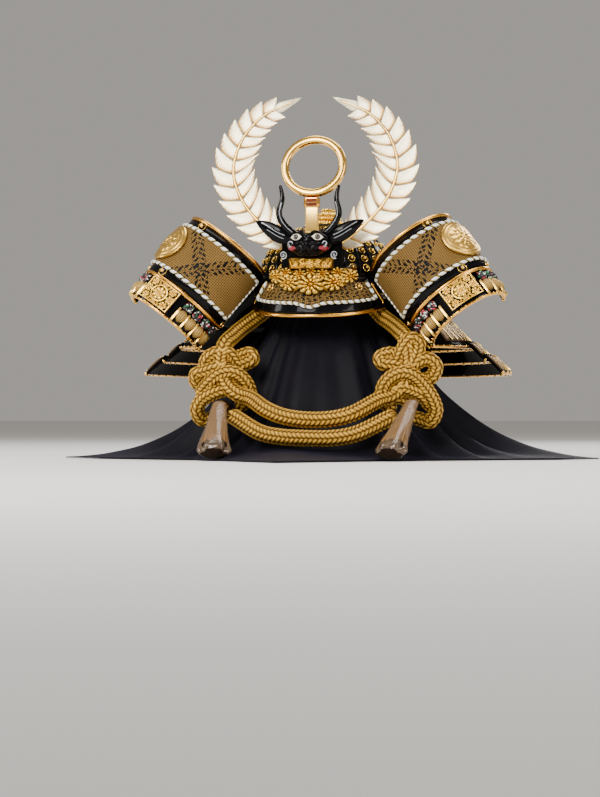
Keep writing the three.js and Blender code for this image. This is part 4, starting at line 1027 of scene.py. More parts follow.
swing_line = np.linspace(-0.92, 0.92, 41)
braid_line = np.concatenate([
    on_visor(0.04, np.array([0.2, 0.35, 0.5, 0.62]), 0.9),
    on_visor((1 + swing_line) / 2, 0.77 + PEAK_DIP * bell(swing_line, PEAK_WIDTH), 0.9),
    on_visor(0.96, np.array([0.62, 0.5, 0.35, 0.2]), 0.9),
])
visor_braid = rope(smooth_line(braid_line, 0.5), 1.25, 5.4, (0, -0.7, 0.7))
piece("visor_braid", [(visor_braid, pale_braid)])

rim_u = np.concatenate([np.full(5, -0.018), [-0.004], np.linspace(0.02, 0.98, 33), [1.004], np.full(5, 1.018)])
rim_v = np.concatenate([
    np.linspace(0.3, 0.94, 5), [1.03], np.full(33, 1.055), [1.03], np.linspace(0.94, 0.3, 5),
])
rim_line = smooth_line(on_visor(rim_u, rim_v, -0.8), 1.0)
piece("visor_edge", [(tube(rim_line, 1.5, 14, (0, -0.7, 0.7)), rim_gold)], ["visor_rim"])
rivet_u, rivet_v = np.array([0.13, 0.87]), np.array([0.36, 0.36])
rivet_normals = -normals_of(visor_surface, rivet_u, rivet_v)
visor_rivets = placed(STUD, on_visor(rivet_u, rivet_v, 0.5), rivet_normals, (1, 0, 0), 0.9)
piece("visor_rivets", [(visor_rivets, bright_gold)])

# %% [markdown]
# ## The flower plate
# Over the visor's root lies a cast gilt plate of chrysanthemums and leaves. Casting gives soft, high relief,
# so the plate is a dense net raised by a height: each flower is two rings of rounded petals round a boss,
# and each leaf is a lens with a vein. The relief value grows with the height, so the ground between the
# flowers is painted dark as shade.

# %% Flower relief
def dome(value):
    """sqrt(1 - value^2), and 0 outside."""
    return np.sqrt(np.clip(1 - value**2, 0, 1))


def bloom(x, y, cx, cy, size, petals):
    """Two rings of petals, each |cos(petals turn / 2)|^0.7 round and a dome across, and a boss."""
    dx, dy = (x - cx) / size, (y - cy) / size
    r, turn = np.hypot(dx, dy), np.arctan2(dy, dx)
    outer = np.abs(np.cos(petals / 2 * turn)) ** 0.7
    inner = np.abs(np.cos((petals - 2) / 2 * turn + 0.6)) ** 0.7
    height = 0.62 * dome((r - 0.7) / (0.16 + 0.16 * outer)) * (0.08 + 0.92 * outer)
    height = np.maximum(height, 0.85 * dome((r - 0.38) / 0.2) * (0.1 + 0.9 * inner))
    return np.maximum(height, dome(r / 0.2) * (0.8 + 0.2 * np.cos(5 * turn)))


def leaf(x, y, cx, cy, size, turn):
    """A lens of half width 0.42 with a sharp vein and slanting side veins."""
    dx, dy = (x - cx) / size, (y - cy) / size
    a, b = dx * np.cos(turn) + dy * np.sin(turn), -dx * np.sin(turn) + dy * np.cos(turn)
    wide = 0.42 * np.sqrt(np.clip(1 - a**2, 0, 1)) * (1 - 0.35 * a)
    inside = dome(b / np.maximum(wide, 1e-3)) * (np.abs(a) < 1)
    veins = 0.75 + 0.25 * np.cos(9 * (a - np.abs(b)) * 2)
    return inside * veins * (0.45 + 0.3 * bell(b, 0.07))


def carving(x, y, blooms, leaves):
    """The highest of the flowers (x, y, size, petals) and leaves (x, y, size, degrees)."""
    return np.maximum.reduce(
        [bloom(x, y, *flower) for flower in blooms]
        + [leaf(x, y, cx, cy, size, np.radians(angle)) for cx, cy, size, angle in leaves]
    )


def both_sides(leaves):
    """Each leaf and its mirror image."""
    return [(s * x, y, size, 90 - s * (90 - angle)) for x, y, size, angle in leaves for s in (-1, 1)]


BASE_ANGLE = np.radians(30)
BASE_WIDTH, BASE_DEPTH = 66.0, 21.0


def base_surface(u, v):
    """Top edge in front of the visor's root, lower edge on the visor, a straight line between them."""
    swing = 2 * u - 1
    top = xyz(64.5 * np.sin(BASE_ANGLE * swing), -70.4 * np.cos(BASE_ANGLE * swing), 142.6 + 2.5 * swing**2)
    low = on_visor(0.5 + 0.36 * swing, 0.56 - 0.2 * swing**2, 0.6)
    return top + (low - top) * v[..., None]


def relief_plate(surface, size, count, blooms, leaves, height, ground, trim):
    """Raises surface(u, v) by height x the highest of its flowers and leaves, over a thin ground.
    x runs along u and y down v in millimetres. Faces outside `trim` and off every flower are left out."""
    us, vs = np.linspace(0, 1, count[0]), np.linspace(-0.12, 1.2, count[1])
    u, v = crossed(us, vs)
    x, y = (u - 0.5) * size[0], v * size[1]
    raised = carving(x, y, blooms, leaves)
    keep = middles(((raised > 0.06) | trim(x, y)).astype(float)) > 0.4
    return plate(surface, us, vs, -(ground + height * raised), relief=1.25 * raised**1.7, keep=keep, scale=size)


base_blooms = [
    (0, 12.6, 9.4, 11), (-15.5, 12.0, 8.0, 10), (15.5, 12.0, 8.0, 10), (-27, 8.0, 7.2, 9), (27, 8.0, 7.2, 9),
    (-8, 3.8, 5.0, 8), (8, 3.8, 5.0, 8), (-18.8, 3.0, 5.0, 8), (18.8, 3.0, 5.0, 8), (0, 1.4, 4.0, 7),
]
base_leaves = both_sides([
    (8.5, 15.5, 4.6, 60), (20.5, 13.6, 4.6, 40), (13, 2.2, 4.0, -20), (26, 1.5, 4.0, 10), (31, 5, 3.6, 80),
    (4.2, 7.8, 3.4, 110),
])
flower_plate = relief_plate(
    base_surface, (BASE_WIDTH, BASE_DEPTH), (210, 86), base_blooms, base_leaves, 3.4, 0.9,
    lambda x, y: (y > 0) & (y < 15.5 - 0.006 * x**2),
)
flower_plate = facing(flower_plate, (0, -1, 1))
holder = bar([(0, -67.885, z) for z in (139.2, 152, 165.6)], 23, 1.3)
piece("flower_plate", [(flower_plate, cast_gold)], ["crest_base"], wall=0.8)
piece("crest_holder", [(holder, black_lacquer)])

# %% Mouth plate under the mask
MOUTH_HALF_WIDTH, MOUTH_BACK_Y, MOUTH_Z, MOUTH_HEIGHT = 17, -69.6, 143.9, 7.8
swing, rise = crossed(np.linspace(-1, 1, 130), np.linspace(0, 1, 44))
x, y = swing * 21, rise * 8
mouth_leaves = both_sides([
    (7, 5.0, 4.2, 25), (7, 1.8, 4.2, -20), (14, 4.6, 4.4, 40), (14.5, 1.4, 4.2, -5), (19, 4, 3.4, 60),
])
carved = np.clip(carving(x, y, [(0, 3.2, 3.8, 8)], mouth_leaves) * 1.6, 0, 1)
slot = bell(y - 7.0, 0.5) * (np.abs(x) < 8)
bulge = dome(swing) ** 0.6 * 9 * (0.9 + 0.1 * np.sin(np.pi * rise)) + 1.5 * carved + 0.9 * slot - 0.9
front_face = xyz(
    MOUTH_HALF_WIDTH * np.sign(swing) * np.abs(swing) ** 0.9, MOUTH_BACK_Y - bulge.clip(0.2),
    MOUTH_Z + MOUTH_HEIGHT * rise,
)
back_low, back_high = (
    xyz(MOUTH_HALF_WIDTH * swing[:, :1], MOUTH_BACK_Y, z) for z in (MOUTH_Z, MOUTH_Z + MOUTH_HEIGHT)
)
mouth_points = np.concatenate([back_low, front_face, back_high], 1)
mouth_relief = np.pad(np.clip(0.1 + carved + slot, 0, 1), ((0, 0), (1, 1)), constant_values=0.5)
mouth = facing(net(mouth_points, (False, True), relief=mouth_relief), (0, -1, 0)).outward()
piece("mouth_block", [(mouth, cast_gold)], ["mouth_plate"])

# %% [markdown]
# ## The beast mask
# A lacquered beast's head sits over the flower plate: heavy brows, almond eyes, a broad snout, red cheeks,
# tall horns and leaf-shaped ears. The head starts as an ellipsoid whose front is pushed out and in by a sum
# of soft bumps, each a bell curve of the distance from a place or a line on the face.

# %% Mask
MASK_CENTRE = np.array([0, -79.5, 161.9])
HEAD_HALF_WIDTH, HEAD_HALF_DEPTH, HEAD_HALF_HEIGHT = 17, 10, 9.5


def face_height(a, b):
    """Brows, sockets, snout, nostrils, cheeks and lip, as bells on the face, from a across and b up."""
    s = np.abs(a)
    round_eye = np.hypot((s - 7.8) * 0.82, b - 3.6)
    above = 1 / (1 + np.exp(-(b - 3.2) * 1.3))
    height = 2.6 * bell(round_eye - 5.0, 1.35) * above
    height = height - 1.3 * bell(np.hypot((s - 7.8) * 0.7, b - 4.2), 2.6)
    height = height + 3.4 * bell(a / 5.4, 1) * bell((b + 2.4) / 4.4, 1)
    height = height + 1.9 * bell(np.hypot(s - 3.3, b + 4.6), 1.9) - 1.5 * bell(np.hypot(s - 3.2, b + 5.6), 0.8)
    height = height + 1.7 * bell(np.hypot((s - 11.8) * 0.7, b + 3.4), 2.5)
    height = height + 1.3 * bell(b + 7.4 + 0.02 * a**2, 0.9) * (s < 13)
    height = height - 1.1 * bell(b - 0.2 - 0.25 * (s - 6), 0.8) * bell(s - 6.0, 4.5)
    return height + 1.1 * bell(s, 0.9) * bell(b - 5.5, 3.2)


theta, phi = crossed(np.linspace(0, np.pi, 76), round_turn(104))
a, b = HEAD_HALF_WIDTH * np.sin(theta) * np.cos(phi), HEAD_HALF_HEIGHT * np.sin(theta) * np.sin(phi)
outward_way = unit(xyz(a / HEAD_HALF_WIDTH**2, -np.cos(theta) / HEAD_HALF_DEPTH, b / HEAD_HALF_HEIGHT**2))
pushed = face_height(a, b) * np.clip(np.cos(theta) * 1.6 + 0.15, 0, 1)
head_points = MASK_CENTRE + xyz(a, -HEAD_HALF_DEPTH * np.cos(theta), b) + outward_way * pushed[..., None]
cheek = (np.hypot((np.abs(a) - 11.8) / 3.6, (b + 3.2) / 1.6) < 1) & (theta < np.pi / 2)
cheek_faces = middles(np.concatenate([cheek, cheek[:, :1]], 1).astype(float)) > 0.5
groove_relief = np.clip(0.5 + pushed * 0.2, 0, 1)
head = net(head_points, (False, True), relief=groove_relief, keep=~cheek_faces)
cheeks = net(head_points, (False, True), relief=groove_relief, keep=cheek_faces)
if head.outward() is not head:
    head, cheeks = head.turned_over(), cheeks.turned_over()

red_lacquer = mottled(
    "red_lacquer", 700.0, (0.4, 0.008, 0.025), (0.1, 0.003, 0.008), Roughness=0.35, Coat_Weight=0.4,
)
eye_white = mottled("eye_white", 500.0, (0.9, 0.84, 0.66), (0.72, 0.62, 0.42), Roughness=0.2, Coat_Weight=0.8)
eye_black = mottled("eye_black", 500.0, (0.01, 0.01, 0.01), (0.03, 0.02, 0.02), Roughness=0.1, Coat_Weight=1.0)
# Silver for the spiral curls, also used for the painted highlight lines on the horns and ears
highlight_and_curl_silver = mottled(
    "highlight_and_curl_silver", 700.0, (0.8, 0.84, 0.9), (0.1, 0.11, 0.13), Metallic=0.85, Roughness=0.3,
)
highlight_and_curl_silver.bump(highlight_and_curl_silver.noise(1500.0), 0.06)

p, q = crossed(np.linspace(-1, 1, 25), np.linspace(-1, 1, 13))
eye_net = net(xyz(5.0 * p, 2.35 * q * (1 - np.abs(p) ** 2.2), 1.5 * dome(np.hypot(p * 0.96, q * 0.75))))
pupil = turned([(1.75, -0.4), (1.7, 0.1), (1.2, 0.5), (0.6, 0.65), (0, 0.7)], 20)
iris_ring = tube(about_z(1.75, edge_turn[::5], 0.0), 0.25, 6, UP, closed=True)
lid_turn = np.linspace(0, 2 * np.pi, 60, endpoint=False)
lid_p = np.cos(lid_turn)
lid_line = xyz(5.1 * lid_p, 2.5 * np.sin(lid_turn) * (1 - np.abs(lid_p) ** 2.2) ** 0.6, 0.35)
lid = tube(lid_line, 0.5, 8, UP, closed=True)
eye_parts = {"white": [], "black": [], "lid": []}
for s in (-1, 1):
    look = unit(np.array([s * 0.28, -1.0, 0.12]))
    at = MASK_CENTRE + [s * 7.9, -9.5, 4.5]
    level = np.array([1.0, s * 0.28, -0.08 * s])
    eye_parts["white"].append(facing(placed(eye_net, [at], [look], level), look))
    eye_parts["black"].append(placed(pupil, [at + look * 1.2], [look], level))
    eye_parts["lid"].append(placed(lid, [at], [look], level))
    eye_parts["lid"].append(placed(iris_ring, [at + look * 1.35], [look], level))

HORN = [(9.35, 1, 5.7), (17.85, -1, 13), (22.6, -1.5, 21.6), (20.6, 0, 34.2), (22.1, 1, 43.2)]
EAR = [(11.9, 1, 2.85), (22.85, 0, 7.1), (31.6, 1, 12.35), (41, 2, 17.6)]
horn_line = smooth_line(MASK_CENTRE + np.array(HORN, float), 0.8)
share = np.linspace(0, 1, len(horn_line))[:, None]
horn_turn = round_turn(20)[None]
horn_grooves = 1 - 0.12 * np.abs(np.sin(2.5 * horn_turn + 4 * share))
horn = tube(horn_line, 3.1 * np.clip(1.12 - share, 0.12, 1) ** 0.42 * horn_grooves, 20)
ear_line = smooth_line(MASK_CENTRE + np.array(EAR, float), 0.8)
share = np.linspace(0, 1, len(ear_line))[:, None]
ear_radius = 5.8 * np.sin(np.pi * np.clip(0.16 + 0.84 * share, 0, 1)) ** 0.75 + 0.35
ear_groove = 1 - 0.35 * bell(horn_turn - 1.5 * np.pi, 0.3) * np.sin(np.pi * share)
ear = tube(ear_line, ear_radius * ear_groove, 20, FRONT, flat=(1, 0.42))
# The silver lines laid along the front of the horns and ears are painted highlights
highlight = lambda line, share, lift: line[int(len(line) * share[0]) : int(len(line) * share[1])] + lift
horn_light = tube(highlight(horn_line, (0.12, 0.72), [-0.6, -2.5, 0.2]), 0.32, 6, FRONT)
ear_light = tube(highlight(ear_line, (0.22, 0.85), [0, -2.5, 1.2]), 0.45, 6, FRONT)
ear_light_low = tube(highlight(ear_line, (0.25, 0.7), [0, -2.45, -1.6]), 0.35, 6, FRONT)
both = lambda shape: [shape, shape.mirrored()]


def spiral_line(x, y, z, wide, high):
    """A spiral about a place given from the middle of the mask, growing by wide and high per radian."""
    spiral = np.linspace(0, 3.6 * np.pi, 90)
    return MASK_CENTRE + xyz(x + wide * spiral * np.cos(spiral), y, z + high * spiral * np.sin(spiral))


side_curl = tube(spiral_line(19.5, -2.5, -8.2, 0.27, 0.27), 0.48 * np.linspace(0.6, 1, 90)[:, None], 10)
cheek_curl = tube(spiral_line(13.2, -7.5, -0.2, 0.22, 0.2)[40:], 0.42, 8)
# Painted highlights on the horns and ears, together with the silver spiral curls
highlights_and_silver_curls = joined([
    side for line in (horn_light, ear_light, ear_light_low, side_curl, cheek_curl) for side in both(line)
])
piece("beast_head", [
    (head, black_lacquer), (joined([*both(horn), *both(ear), *eye_parts["lid"]]), black_lacquer),
    (cheeks, red_lacquer), (joined(eye_parts["white"]), eye_white), (joined(eye_parts["black"]), eye_black),
    (highlights_and_silver_curls, highlight_and_curl_silver),
], ["demon_mask"])

# %% [markdown]
# ## The ring crest
# A polished ring stands on a flat post behind the mask, with a small gilt cap that shows two amber squares,
# one above the other, in front and behind. All are plain metalwork, so what matters is true edges with
# small bevels.

# %% Ring, post and cap
amber = mottled(
    "amber", 900.0, (0.3, 0.045, 0.004), (0.08, 0.012, 0.002),
    Roughness=0.12, Coat_Weight=1.0, Transmission_Weight=0.25, IOR=1.54,
)
RING_CENTRE, RING_RADIUS, RING_SECTION, POST_Y = np.array([0, -60.6, 221.4]), 22.0, 3.25, -68.1
lean = np.radians(70)
ring_turn = round_turn(120)
ring_line = RING_CENTRE + RING_RADIUS * xyz(
    np.cos(ring_turn), np.sin(ring_turn) * np.cos(lean), np.sin(ring_turn) * np.sin(lean),
)
side_turn = round_turn(32)
rounded = (np.abs(np.cos(side_turn)) ** 3 + np.abs(np.sin(side_turn)) ** 3) ** (1 / 3)
ring_section = RING_SECTION / rounded * 0.93
ring = tube(ring_line, ring_section, 32, (0, -np.sin(lean), np.cos(lean)), closed=True)
piece("ring_crest", [(ring, ring_gold)], ["crest_ring"])
post = bar([(0, POST_Y, z) for z in (165.9, 178, 189.9)], 5, 1.5)
piece("ring_post", [(post, bright_gold)], ["crest_post"])
cap = bar([(0, POST_Y, z) for z in (190.2, 193.7, 197.2)], 6, 2.5)
stones = joined([
    bar([(0, y, z - 1.25), (0, y, z), (0, y, z + 1.25)], 4.1, 0.45)
    for y in (-70.7, -65.5) for z in (192.1, 195.3)
])
piece("ring_cap", [(cap, rim_gold), (stones, amber)], ["crest_cap"])

# %% [markdown]
# ## The fern crests
# Two cut and chased gilt leaves stand behind the mask, each a curved rib with thirteen pairs of leaflets.
# A leaflet lies between two lines that leave the rib and lean ahead of it. Its outer end comes to a point
# that turns up, and its face is slightly hollow, with a centre vein and a fine comb of chased lines. It is
# coloured a pale, near-white gold, the gold made paler by a painted highlight, and the lines, the vein and the
# foot at the rib are a darker gold, partly the gold's own tone and partly painted shade in those grooves.

# %% Ferns
FERN_SPREAD, FERN_HEIGHT, FERN_PAIRS, FERN_STEM_SHARE = 44.0, 112.0, 13, 0.9
FERN_ROOT, FERN_LEAN_SINE, FERN_LEAN_COSINE = (19, -63.73, 161.6), 0.1564, 0.9877
FERN_RIB = np.array([
    (0, 0), (0.26, 0.07), (0.54, 0.17), (0.79, 0.29), (0.94, 0.41), (1, 0.52), (0.97, 0.62), (0.82, 0.765),
    (0.5, 0.9), (-0.04, 1),
])
rib_line = smooth_line(np.column_stack([FERN_RIB * [FERN_SPREAD, FERN_HEIGHT], np.zeros(10)]), 0.25)
rib_share = np.linspace(0, 1, len(rib_line))
rib_ahead = unit(np.gradient(rib_line, axis=0))


def along_rib(rows, share):
    return np.stack([np.interp(share, rib_share, rows[:, axis]) for axis in range(2)], -1)


def to_the_right(ahead):
    """The directions turned by a quarter to the right, in the leaf's plane."""
    return np.stack([ahead[..., 1], -ahead[..., 0]], -1)


def fern_point(along, side, reach):
    """foot + outward (1.0 + reach (length - 1.0)) + ahead x length / 2 x reach^1.6, in the leaf's plane."""
    foot, ahead = along_rib(rib_line, along), unit(along_rib(rib_ahead, along))
    outward = side * to_the_right(ahead)
    full = np.interp(along, [0, 0.12, 0.3, 0.55, 0.75, 0.9, 1], [0.5, 0.9, 1, 1, 0.76, 0.5, 0.3])
    length = (16.0 if side > 0 else 18.0) * full
    return (
        foot + outward * (1.0 + reach * (length - 1.0))[..., None]
        + ahead * (length * 0.5 * reach**1.6)[..., None]
    )


def stood_up(flat, height):
    """From the leaf's plane to its place behind the holder, leaning back by 9 degrees."""
    x, y = flat[..., 0], flat[..., 1]
    return xyz(
        FERN_ROOT[0] + x, FERN_ROOT[1] + FERN_LEAN_SINE * y - FERN_LEAN_COSINE * height,
        FERN_ROOT[2] + FERN_LEAN_COSINE * y + FERN_LEAN_SINE * height,
    )


LEAFLET_GAP = 0.0032


def leaflet(index, side):
    """reach runs from the rib to the tip. The lower edge rises to meet the upper one at the tip."""
    low, high = index / FERN_PAIRS * FERN_STEM_SHARE, (index + 1) / FERN_PAIRS * FERN_STEM_SHARE
    reach, across = crossed(np.linspace(0, 1, 36), np.linspace(0, 1, 9))
    low_edge = low + LEAFLET_GAP + (high - low - 2 * LEAFLET_GAP) * np.clip((reach - 0.62) / 0.38, 0, 1) ** 2.6
    high_edge = high - LEAFLET_GAP + 0.006 * np.sin(np.pi * reach)
    flat = fern_point(low_edge + (high_edge - low_edge) * across, side, reach)
    comb = np.sin(reach * 34 + across * 3) ** 2
    hollow = -0.35 * np.sin(np.pi * across) * np.sin(np.pi * np.clip(reach, 0.05, 0.95))
    height = 1.2 + hollow + 0.05 * comb + 0.7 * reach**2
    # low relief at the vein, the comb lines and the rib sets where the gold is painted with shade
    relief = 1.0 - 0.9 * bell(across, 0.12) - 0.85 * bell(across, 0.55) * comb - 0.3 * bell(reach, 0.06)
    return facing(net(stood_up(flat, height), relief=relief), (0, -1, 0))


BLADE_START, BLADE_SHARE = 0.885, 0.115
blade_share, blade_across = crossed(np.linspace(BLADE_START, 1, 16), np.linspace(-1, 1, 9))
blade_reach = (blade_share - BLADE_START) / BLADE_SHARE
blade_width = 5.4 * np.clip(blade_reach / 0.3, 0.25, 1) ** 0.6 * (1 - blade_reach) ** 0.75 * blade_across
blade_ahead = unit(along_rib(rib_ahead, blade_share))
blade_flat = (
    along_rib(rib_line, blade_share) + (6.0 * blade_reach**2)[..., None] * [-0.9, 0.45]
    + blade_width[..., None] * to_the_right(blade_ahead)
)
blade = facing(net(stood_up(blade_flat, 1.4 - 0.8 * np.abs(blade_across))), (0, -1, 0))
fern_stem = np.concatenate([[(0, -8, 0), (0, -4, 0)], rib_line[::8]])
stem_path = smooth_line(stood_up(fern_stem[:, :2], np.full(len(fern_stem), 1.5)), 1.2)
stem_radius = np.linspace(1.3, 0.5, len(stem_path))[:, None]
fern_rib = tube(stem_path, stem_radius, 10, (0, -1, 0.1), flat=(1, 0.7))

fern_gold = Finish("fern_gold", Metallic=0.7, Roughness=0.3, Specular_IOR_Level=0.8)
# The near-white gold is a painted highlight; where relief is low, a darker gold paints shade
chased = fern_gold.between(fern_gold.relief(), 0.25, 0.85)
fern_gold.feed(
    Base_Color=fern_gold.mix(chased, (0.6, 0.3, 0.05), (1.0, 0.9, 0.62)),
    Roughness=0.46 - chased * 0.08,
)
fern_gold.bump(fern_gold.noise(1400.0), 0.03, 0.5)
leaves_right = joined([leaflet(index, side) for index in range(FERN_PAIRS) for side in (-1, 1)] + [blade])
for name, flip in SIDES.items():
    piece(f"fern_leaves_{name}", [(flip(leaves_right), fern_gold)], [f"fern_{name}"], wall=0.5)
    piece(f"fern_stem_{name}", [(flip(fern_rib), bright_gold)])

# %% [markdown]
# ## The neck guard
# Four sloping lames run round the back of the head, and the upper two turn back beside the visor in big
# curls. One surface carries them all. Its first number runs from -1 at the left root, through the back, to 1
# at the right root, and on round each curl, one unit for each half turn. Its second is the distance down
# from the top edge. The slope is a cone at the back and bends into the curls' own direction near the roots.

# %% Guard surface
GUARD_HALF_WIDTH, GUARD_HALF_LENGTH, GUARD_TOP_Z = 57.4, 61.585, 139.0
HALF_ARC, SLOPE, FLARE, GUARD_DEPTH = 132.0, np.radians(41.1), 8.0, 106.5
CURL_HALF_CHORD, CURL_DEPTH = 36.5, 30.0
curl_flare, curl_tilt = np.radians(38.5), np.radians(15.7)
CURL_DOWN = np.array([
    np.sin(curl_flare) * np.cos(curl_tilt), -np.sin(curl_tilt), -np.cos(curl_flare) * np.cos(curl_tilt),
])
CURL_ACROSS = np.array([0.77, 0.14, 0.62])
CURL_ACROSS = unit(CURL_ACROSS - CURL_DOWN * (CURL_ACROSS @ CURL_DOWN))
CURL_FRONT = np.cross(CURL_DOWN, CURL_ACROSS)


def guard_surface(place, down):
    """Ellipse point + down x slope + flare, then across (1 - cos) and front sin of the turn round a curl."""
    place, down = np.broadcast_arrays(np.asarray(place, float), np.asarray(down, float))
    on_curl = np.maximum(0, np.abs(place) - 1) * np.pi
    round_share = np.clip(place, -1, 1)
    angle = np.radians(90 - round_share * HALF_ARC)
    spread = about_z(1.0, angle, 0.0)
    top = spread * [GUARD_HALF_WIDTH, GUARD_HALF_LENGTH, 0] + [0, 0, GUARD_TOP_Z]
    side = np.where(place > 0, 1.0, -1.0)[..., None] * [1, 0, 0] + [0, 1, 1]
    t = np.clip((np.abs(round_share) - 0.8) / 0.2, 0, 1)
    blend = (t * t * (3 - 2 * t))[..., None]
    slope = spread * np.sin(SLOPE) + [0, 0, -np.cos(SLOPE)]
    direction = unit(slope * (1 - blend) + side * CURL_DOWN * blend)
    flare = (FLARE * (down / GUARD_DEPTH) ** 2)[..., None] * (1 - blend)
    return (
        top + direction * down[..., None] + spread * flare
        + side * CURL_ACROSS * (CURL_HALF_CHORD * (1 - np.cos(on_curl)))[..., None]
        + side * CURL_FRONT * (CURL_DEPTH * np.sin(on_curl))[..., None]
    )


def on_guard(place, down, lift):
    """A point at a lift over the guard: outside it at the back, in the hollow behind a curl."""
    return over(guard_surface, place, down, lift)


def on_curl_front(turn, down, height):
    """A point over the front of the right curl, turn in degrees from its root."""
    return on_guard(1 + np.asarray(turn, float) / 180, down, -np.asarray(height, float))


def curl_normals(turn, down):
    """The way that the front of the right curl faces."""
    turn, down = np.broadcast_arrays(np.asarray(turn, float), np.asarray(down, float))
    return -normals_of(guard_surface, 1 + turn / 180, down)


CURL_TURNS = np.linspace(0, 200, 401)
curl_middle_line = guard_surface(1 + CURL_TURNS / 180, 25.0)
CURL_ARCS = gone(curl_middle_line)
print("a curl is", round(CURL_ARCS[-1]), "mm round")


def turn_at(arc):
    """Degrees round the curl at a distance round it, in millimetres."""
    return np.interp(arc, CURL_ARCS, CURL_TURNS)


# %% Lames
LAMES = [(0, 51, 0, 2.1), (46.5, 29, 3.15, 2.1), (71, 20, 5.55, 100 / 132), (86.5, 20, 7.95, 100 / 132)]
LAME_WALL = 1.5
for index, (top, width, inside, end) in enumerate(LAMES):
    us, vs = np.linspace(-end, end, int(150 * end)), top + np.linspace(0, width, 9)
    on_a_curl = np.abs(us[1:] + us[:-1])[:, None] / 2 > 1.03 + 0 * vs[1:]
    lame, curled = (
        plate(guard_surface, us, vs, lift=inside + LAME_WALL, scale=(90, 1), keep=keep)
        for keep in (~on_a_curl, on_a_curl)
    )
    finishes = [(lame, soft_lacquer)] + [(curled, black_lacquer)] * bool(on_a_curl.any())
    piece(f"guard_lame_{index + 1}", finishes, [f"neck_lame_{index + 1}"], wall=LAME_WALL)

# %% [markdown]
# ## The lacing
# Silk cords lace each lame to the next. On the outside they show as rows of soft puffs, each a pair of
# cords that bulge over the plate, with a thin gilt slat shining between one puff and the next. The puffs are
# a relief on the guard's surface: |sin| across, rounded down the lame, with fine slanting threads.

# %% Lacing
def lacing_silk(name, bright, deep):
    """Puffed silk cords: slanting threads, with painted shade in the creases between the puffs."""
    finish = Finish(name, Roughness=0.45, Metallic=0.25, Specular_IOR_Level=0.3)
    u, v = finish.pair()
    thread = (v * 5.0 + abs((u / 5.2) % 1.0 - 0.5) * 14.0).sine()
    depth = finish.between(finish.relief(), 0.1, 0.8)
    tone = finish.mix(finish.noise(150.0), bright, deep)
    finish.feed(Base_Color=finish.mix(depth, (0.02, 0.009, 0.002), tone))
    finish.bump(thread * 0.5 + finish.noise(2500.0) * 0.4, 0.15, 0.8)
    return finish


lace_silk = lacing_silk("lace_silk", (0.62, 0.39, 0.1), (0.42, 0.24, 0.05))
# A darker copy of the lacing silk, which paints shade on the lower rows
shaded_lace_silk = lacing_silk("shaded_lace_silk", (0.26, 0.14, 0.03), (0.13, 0.06, 0.01))

PUFF_WIDTH = 7.8
for index, (top, width, inside, end) in enumerate(LAMES):
    reach = min(end, 0.88) * 0.995
    start = 4.0 if index == 0 else 2.3
    stop = width - (5.4 if index < 3 else 2.0)
    rows = 2 if index == 0 else 1
    around_mm = 2 * reach * 2.304 * (74 + 0.55 * (top + width / 2))
    count = int(round(around_mm / PUFF_WIDTH))
    us, vs = np.linspace(-reach, reach, count * 10 + 1), np.linspace(0, 1, 10 * rows + 1)
    u, v = crossed(us, vs)
    across = np.abs(np.sin(np.pi * count * (u + reach) / (2 * reach)))
    twin = 0.82 + 0.18 * np.abs(np.sin(2 * np.pi * count * (u + reach) / (2 * reach)))
    bulge = across**0.55 * twin * np.clip(np.abs(np.sin(np.pi * rows * v)), 0.0, 1) ** 0.45
    points = on_guard(u, top + start + (stop - start) * v, inside + LAME_WALL + 0.5 + 1.7 * bulge)
    band = net(points, us=us / (2 * reach) * count * 5.2, vs=vs * (stop - start), relief=bulge * 1.1)
    slat_place = -reach + 2 * reach * np.arange(1, count) / count
    slat_down = top + start + (stop - start) * np.linspace(0.04, 0.96, 7)
    slats = [tube(on_guard(p, slat_down, inside + LAME_WALL + 1.5), 0.55, 6, UP) for p in slat_place]
    # Rows below the first take the darker copy of the silk as painted shade
    lace = shaded_lace_silk if index else lace_silk
    piece(f"lacing_row_{index + 1}", [(band, lace)], [f"lacing_{index + 1}"], wall=0.8)
    piece(f"lacing_slats_{index + 1}", [(joined(slats), bright_gold)])

# %% [markdown]
# Along its lower edge every lame has a gilt trim, a thin moulding with a row of beads.

# %% Lame trims
BEAD = turned([(0.85, -0.2), (0.8, 0.35), (0.5, 0.75), (0, 0.85)], 8)
for index, (top, width, inside, end) in enumerate(LAMES[1:], 2):
    trim_end = min(end, 2.09)
    trim_place = np.linspace(-trim_end, trim_end, int(130 * trim_end))
    down = top + width - 0.8
    trim = tube(on_guard(trim_place, down, inside + LAME_WALL / 2), 1.15, 8, UP)
    bead_place = np.linspace(-trim_end, trim_end, int(48 * trim_end))
    normal = normals_of(guard_surface, bead_place, down + 0 * bead_place)
    beads = [
        placed(BEAD, on_guard(bead_place, down, inside + LAME_WALL / 2 + lift), normal * np.sign(lift), UP)
        for lift in (1.0, -1.0)
    ]
    piece(f"lame_trim_{index}", [(trim, rim_gold), (joined(beads), bright_gold)])

# %% [markdown]
# ## The curls
# The front of each curl is the show side. From its gilt rims inwards come a black lacquer band, a row of
# slanting white stitches with olive between them, and the printed leather, with a domed gold disc near the
# outer end and gilt rivets on the black bands. Everything is laid on the same surface at its own height.

# %% Leather on the curls
LATTICE = 48.0


def lattice(along, across):
    """Bands of a diagonal lattice: p = (along + across) / sqrt 2 and q = (along - across) / sqrt 2."""
    p, q = (along + across) * 0.7071, (along - across) * 0.7071
    return [(repeated(p, 55.5, LATTICE), q, 5.2), (repeated(q, 12.0, LATTICE), p, 5.2)]


curl_leather = printed_leather("curl_leather", lattice)
leather_arcs, leather_downs = np.linspace(5.0, 111.0, 130), np.linspace(6, 45, 16)
arc, down = crossed(leather_arcs, leather_downs)
leather = net(on_curl_front(turn_at(arc), down, 1.35), us=leather_arcs, vs=leather_downs)
leather = facing(leather, curl_normals([90.0], [25.0])[0])

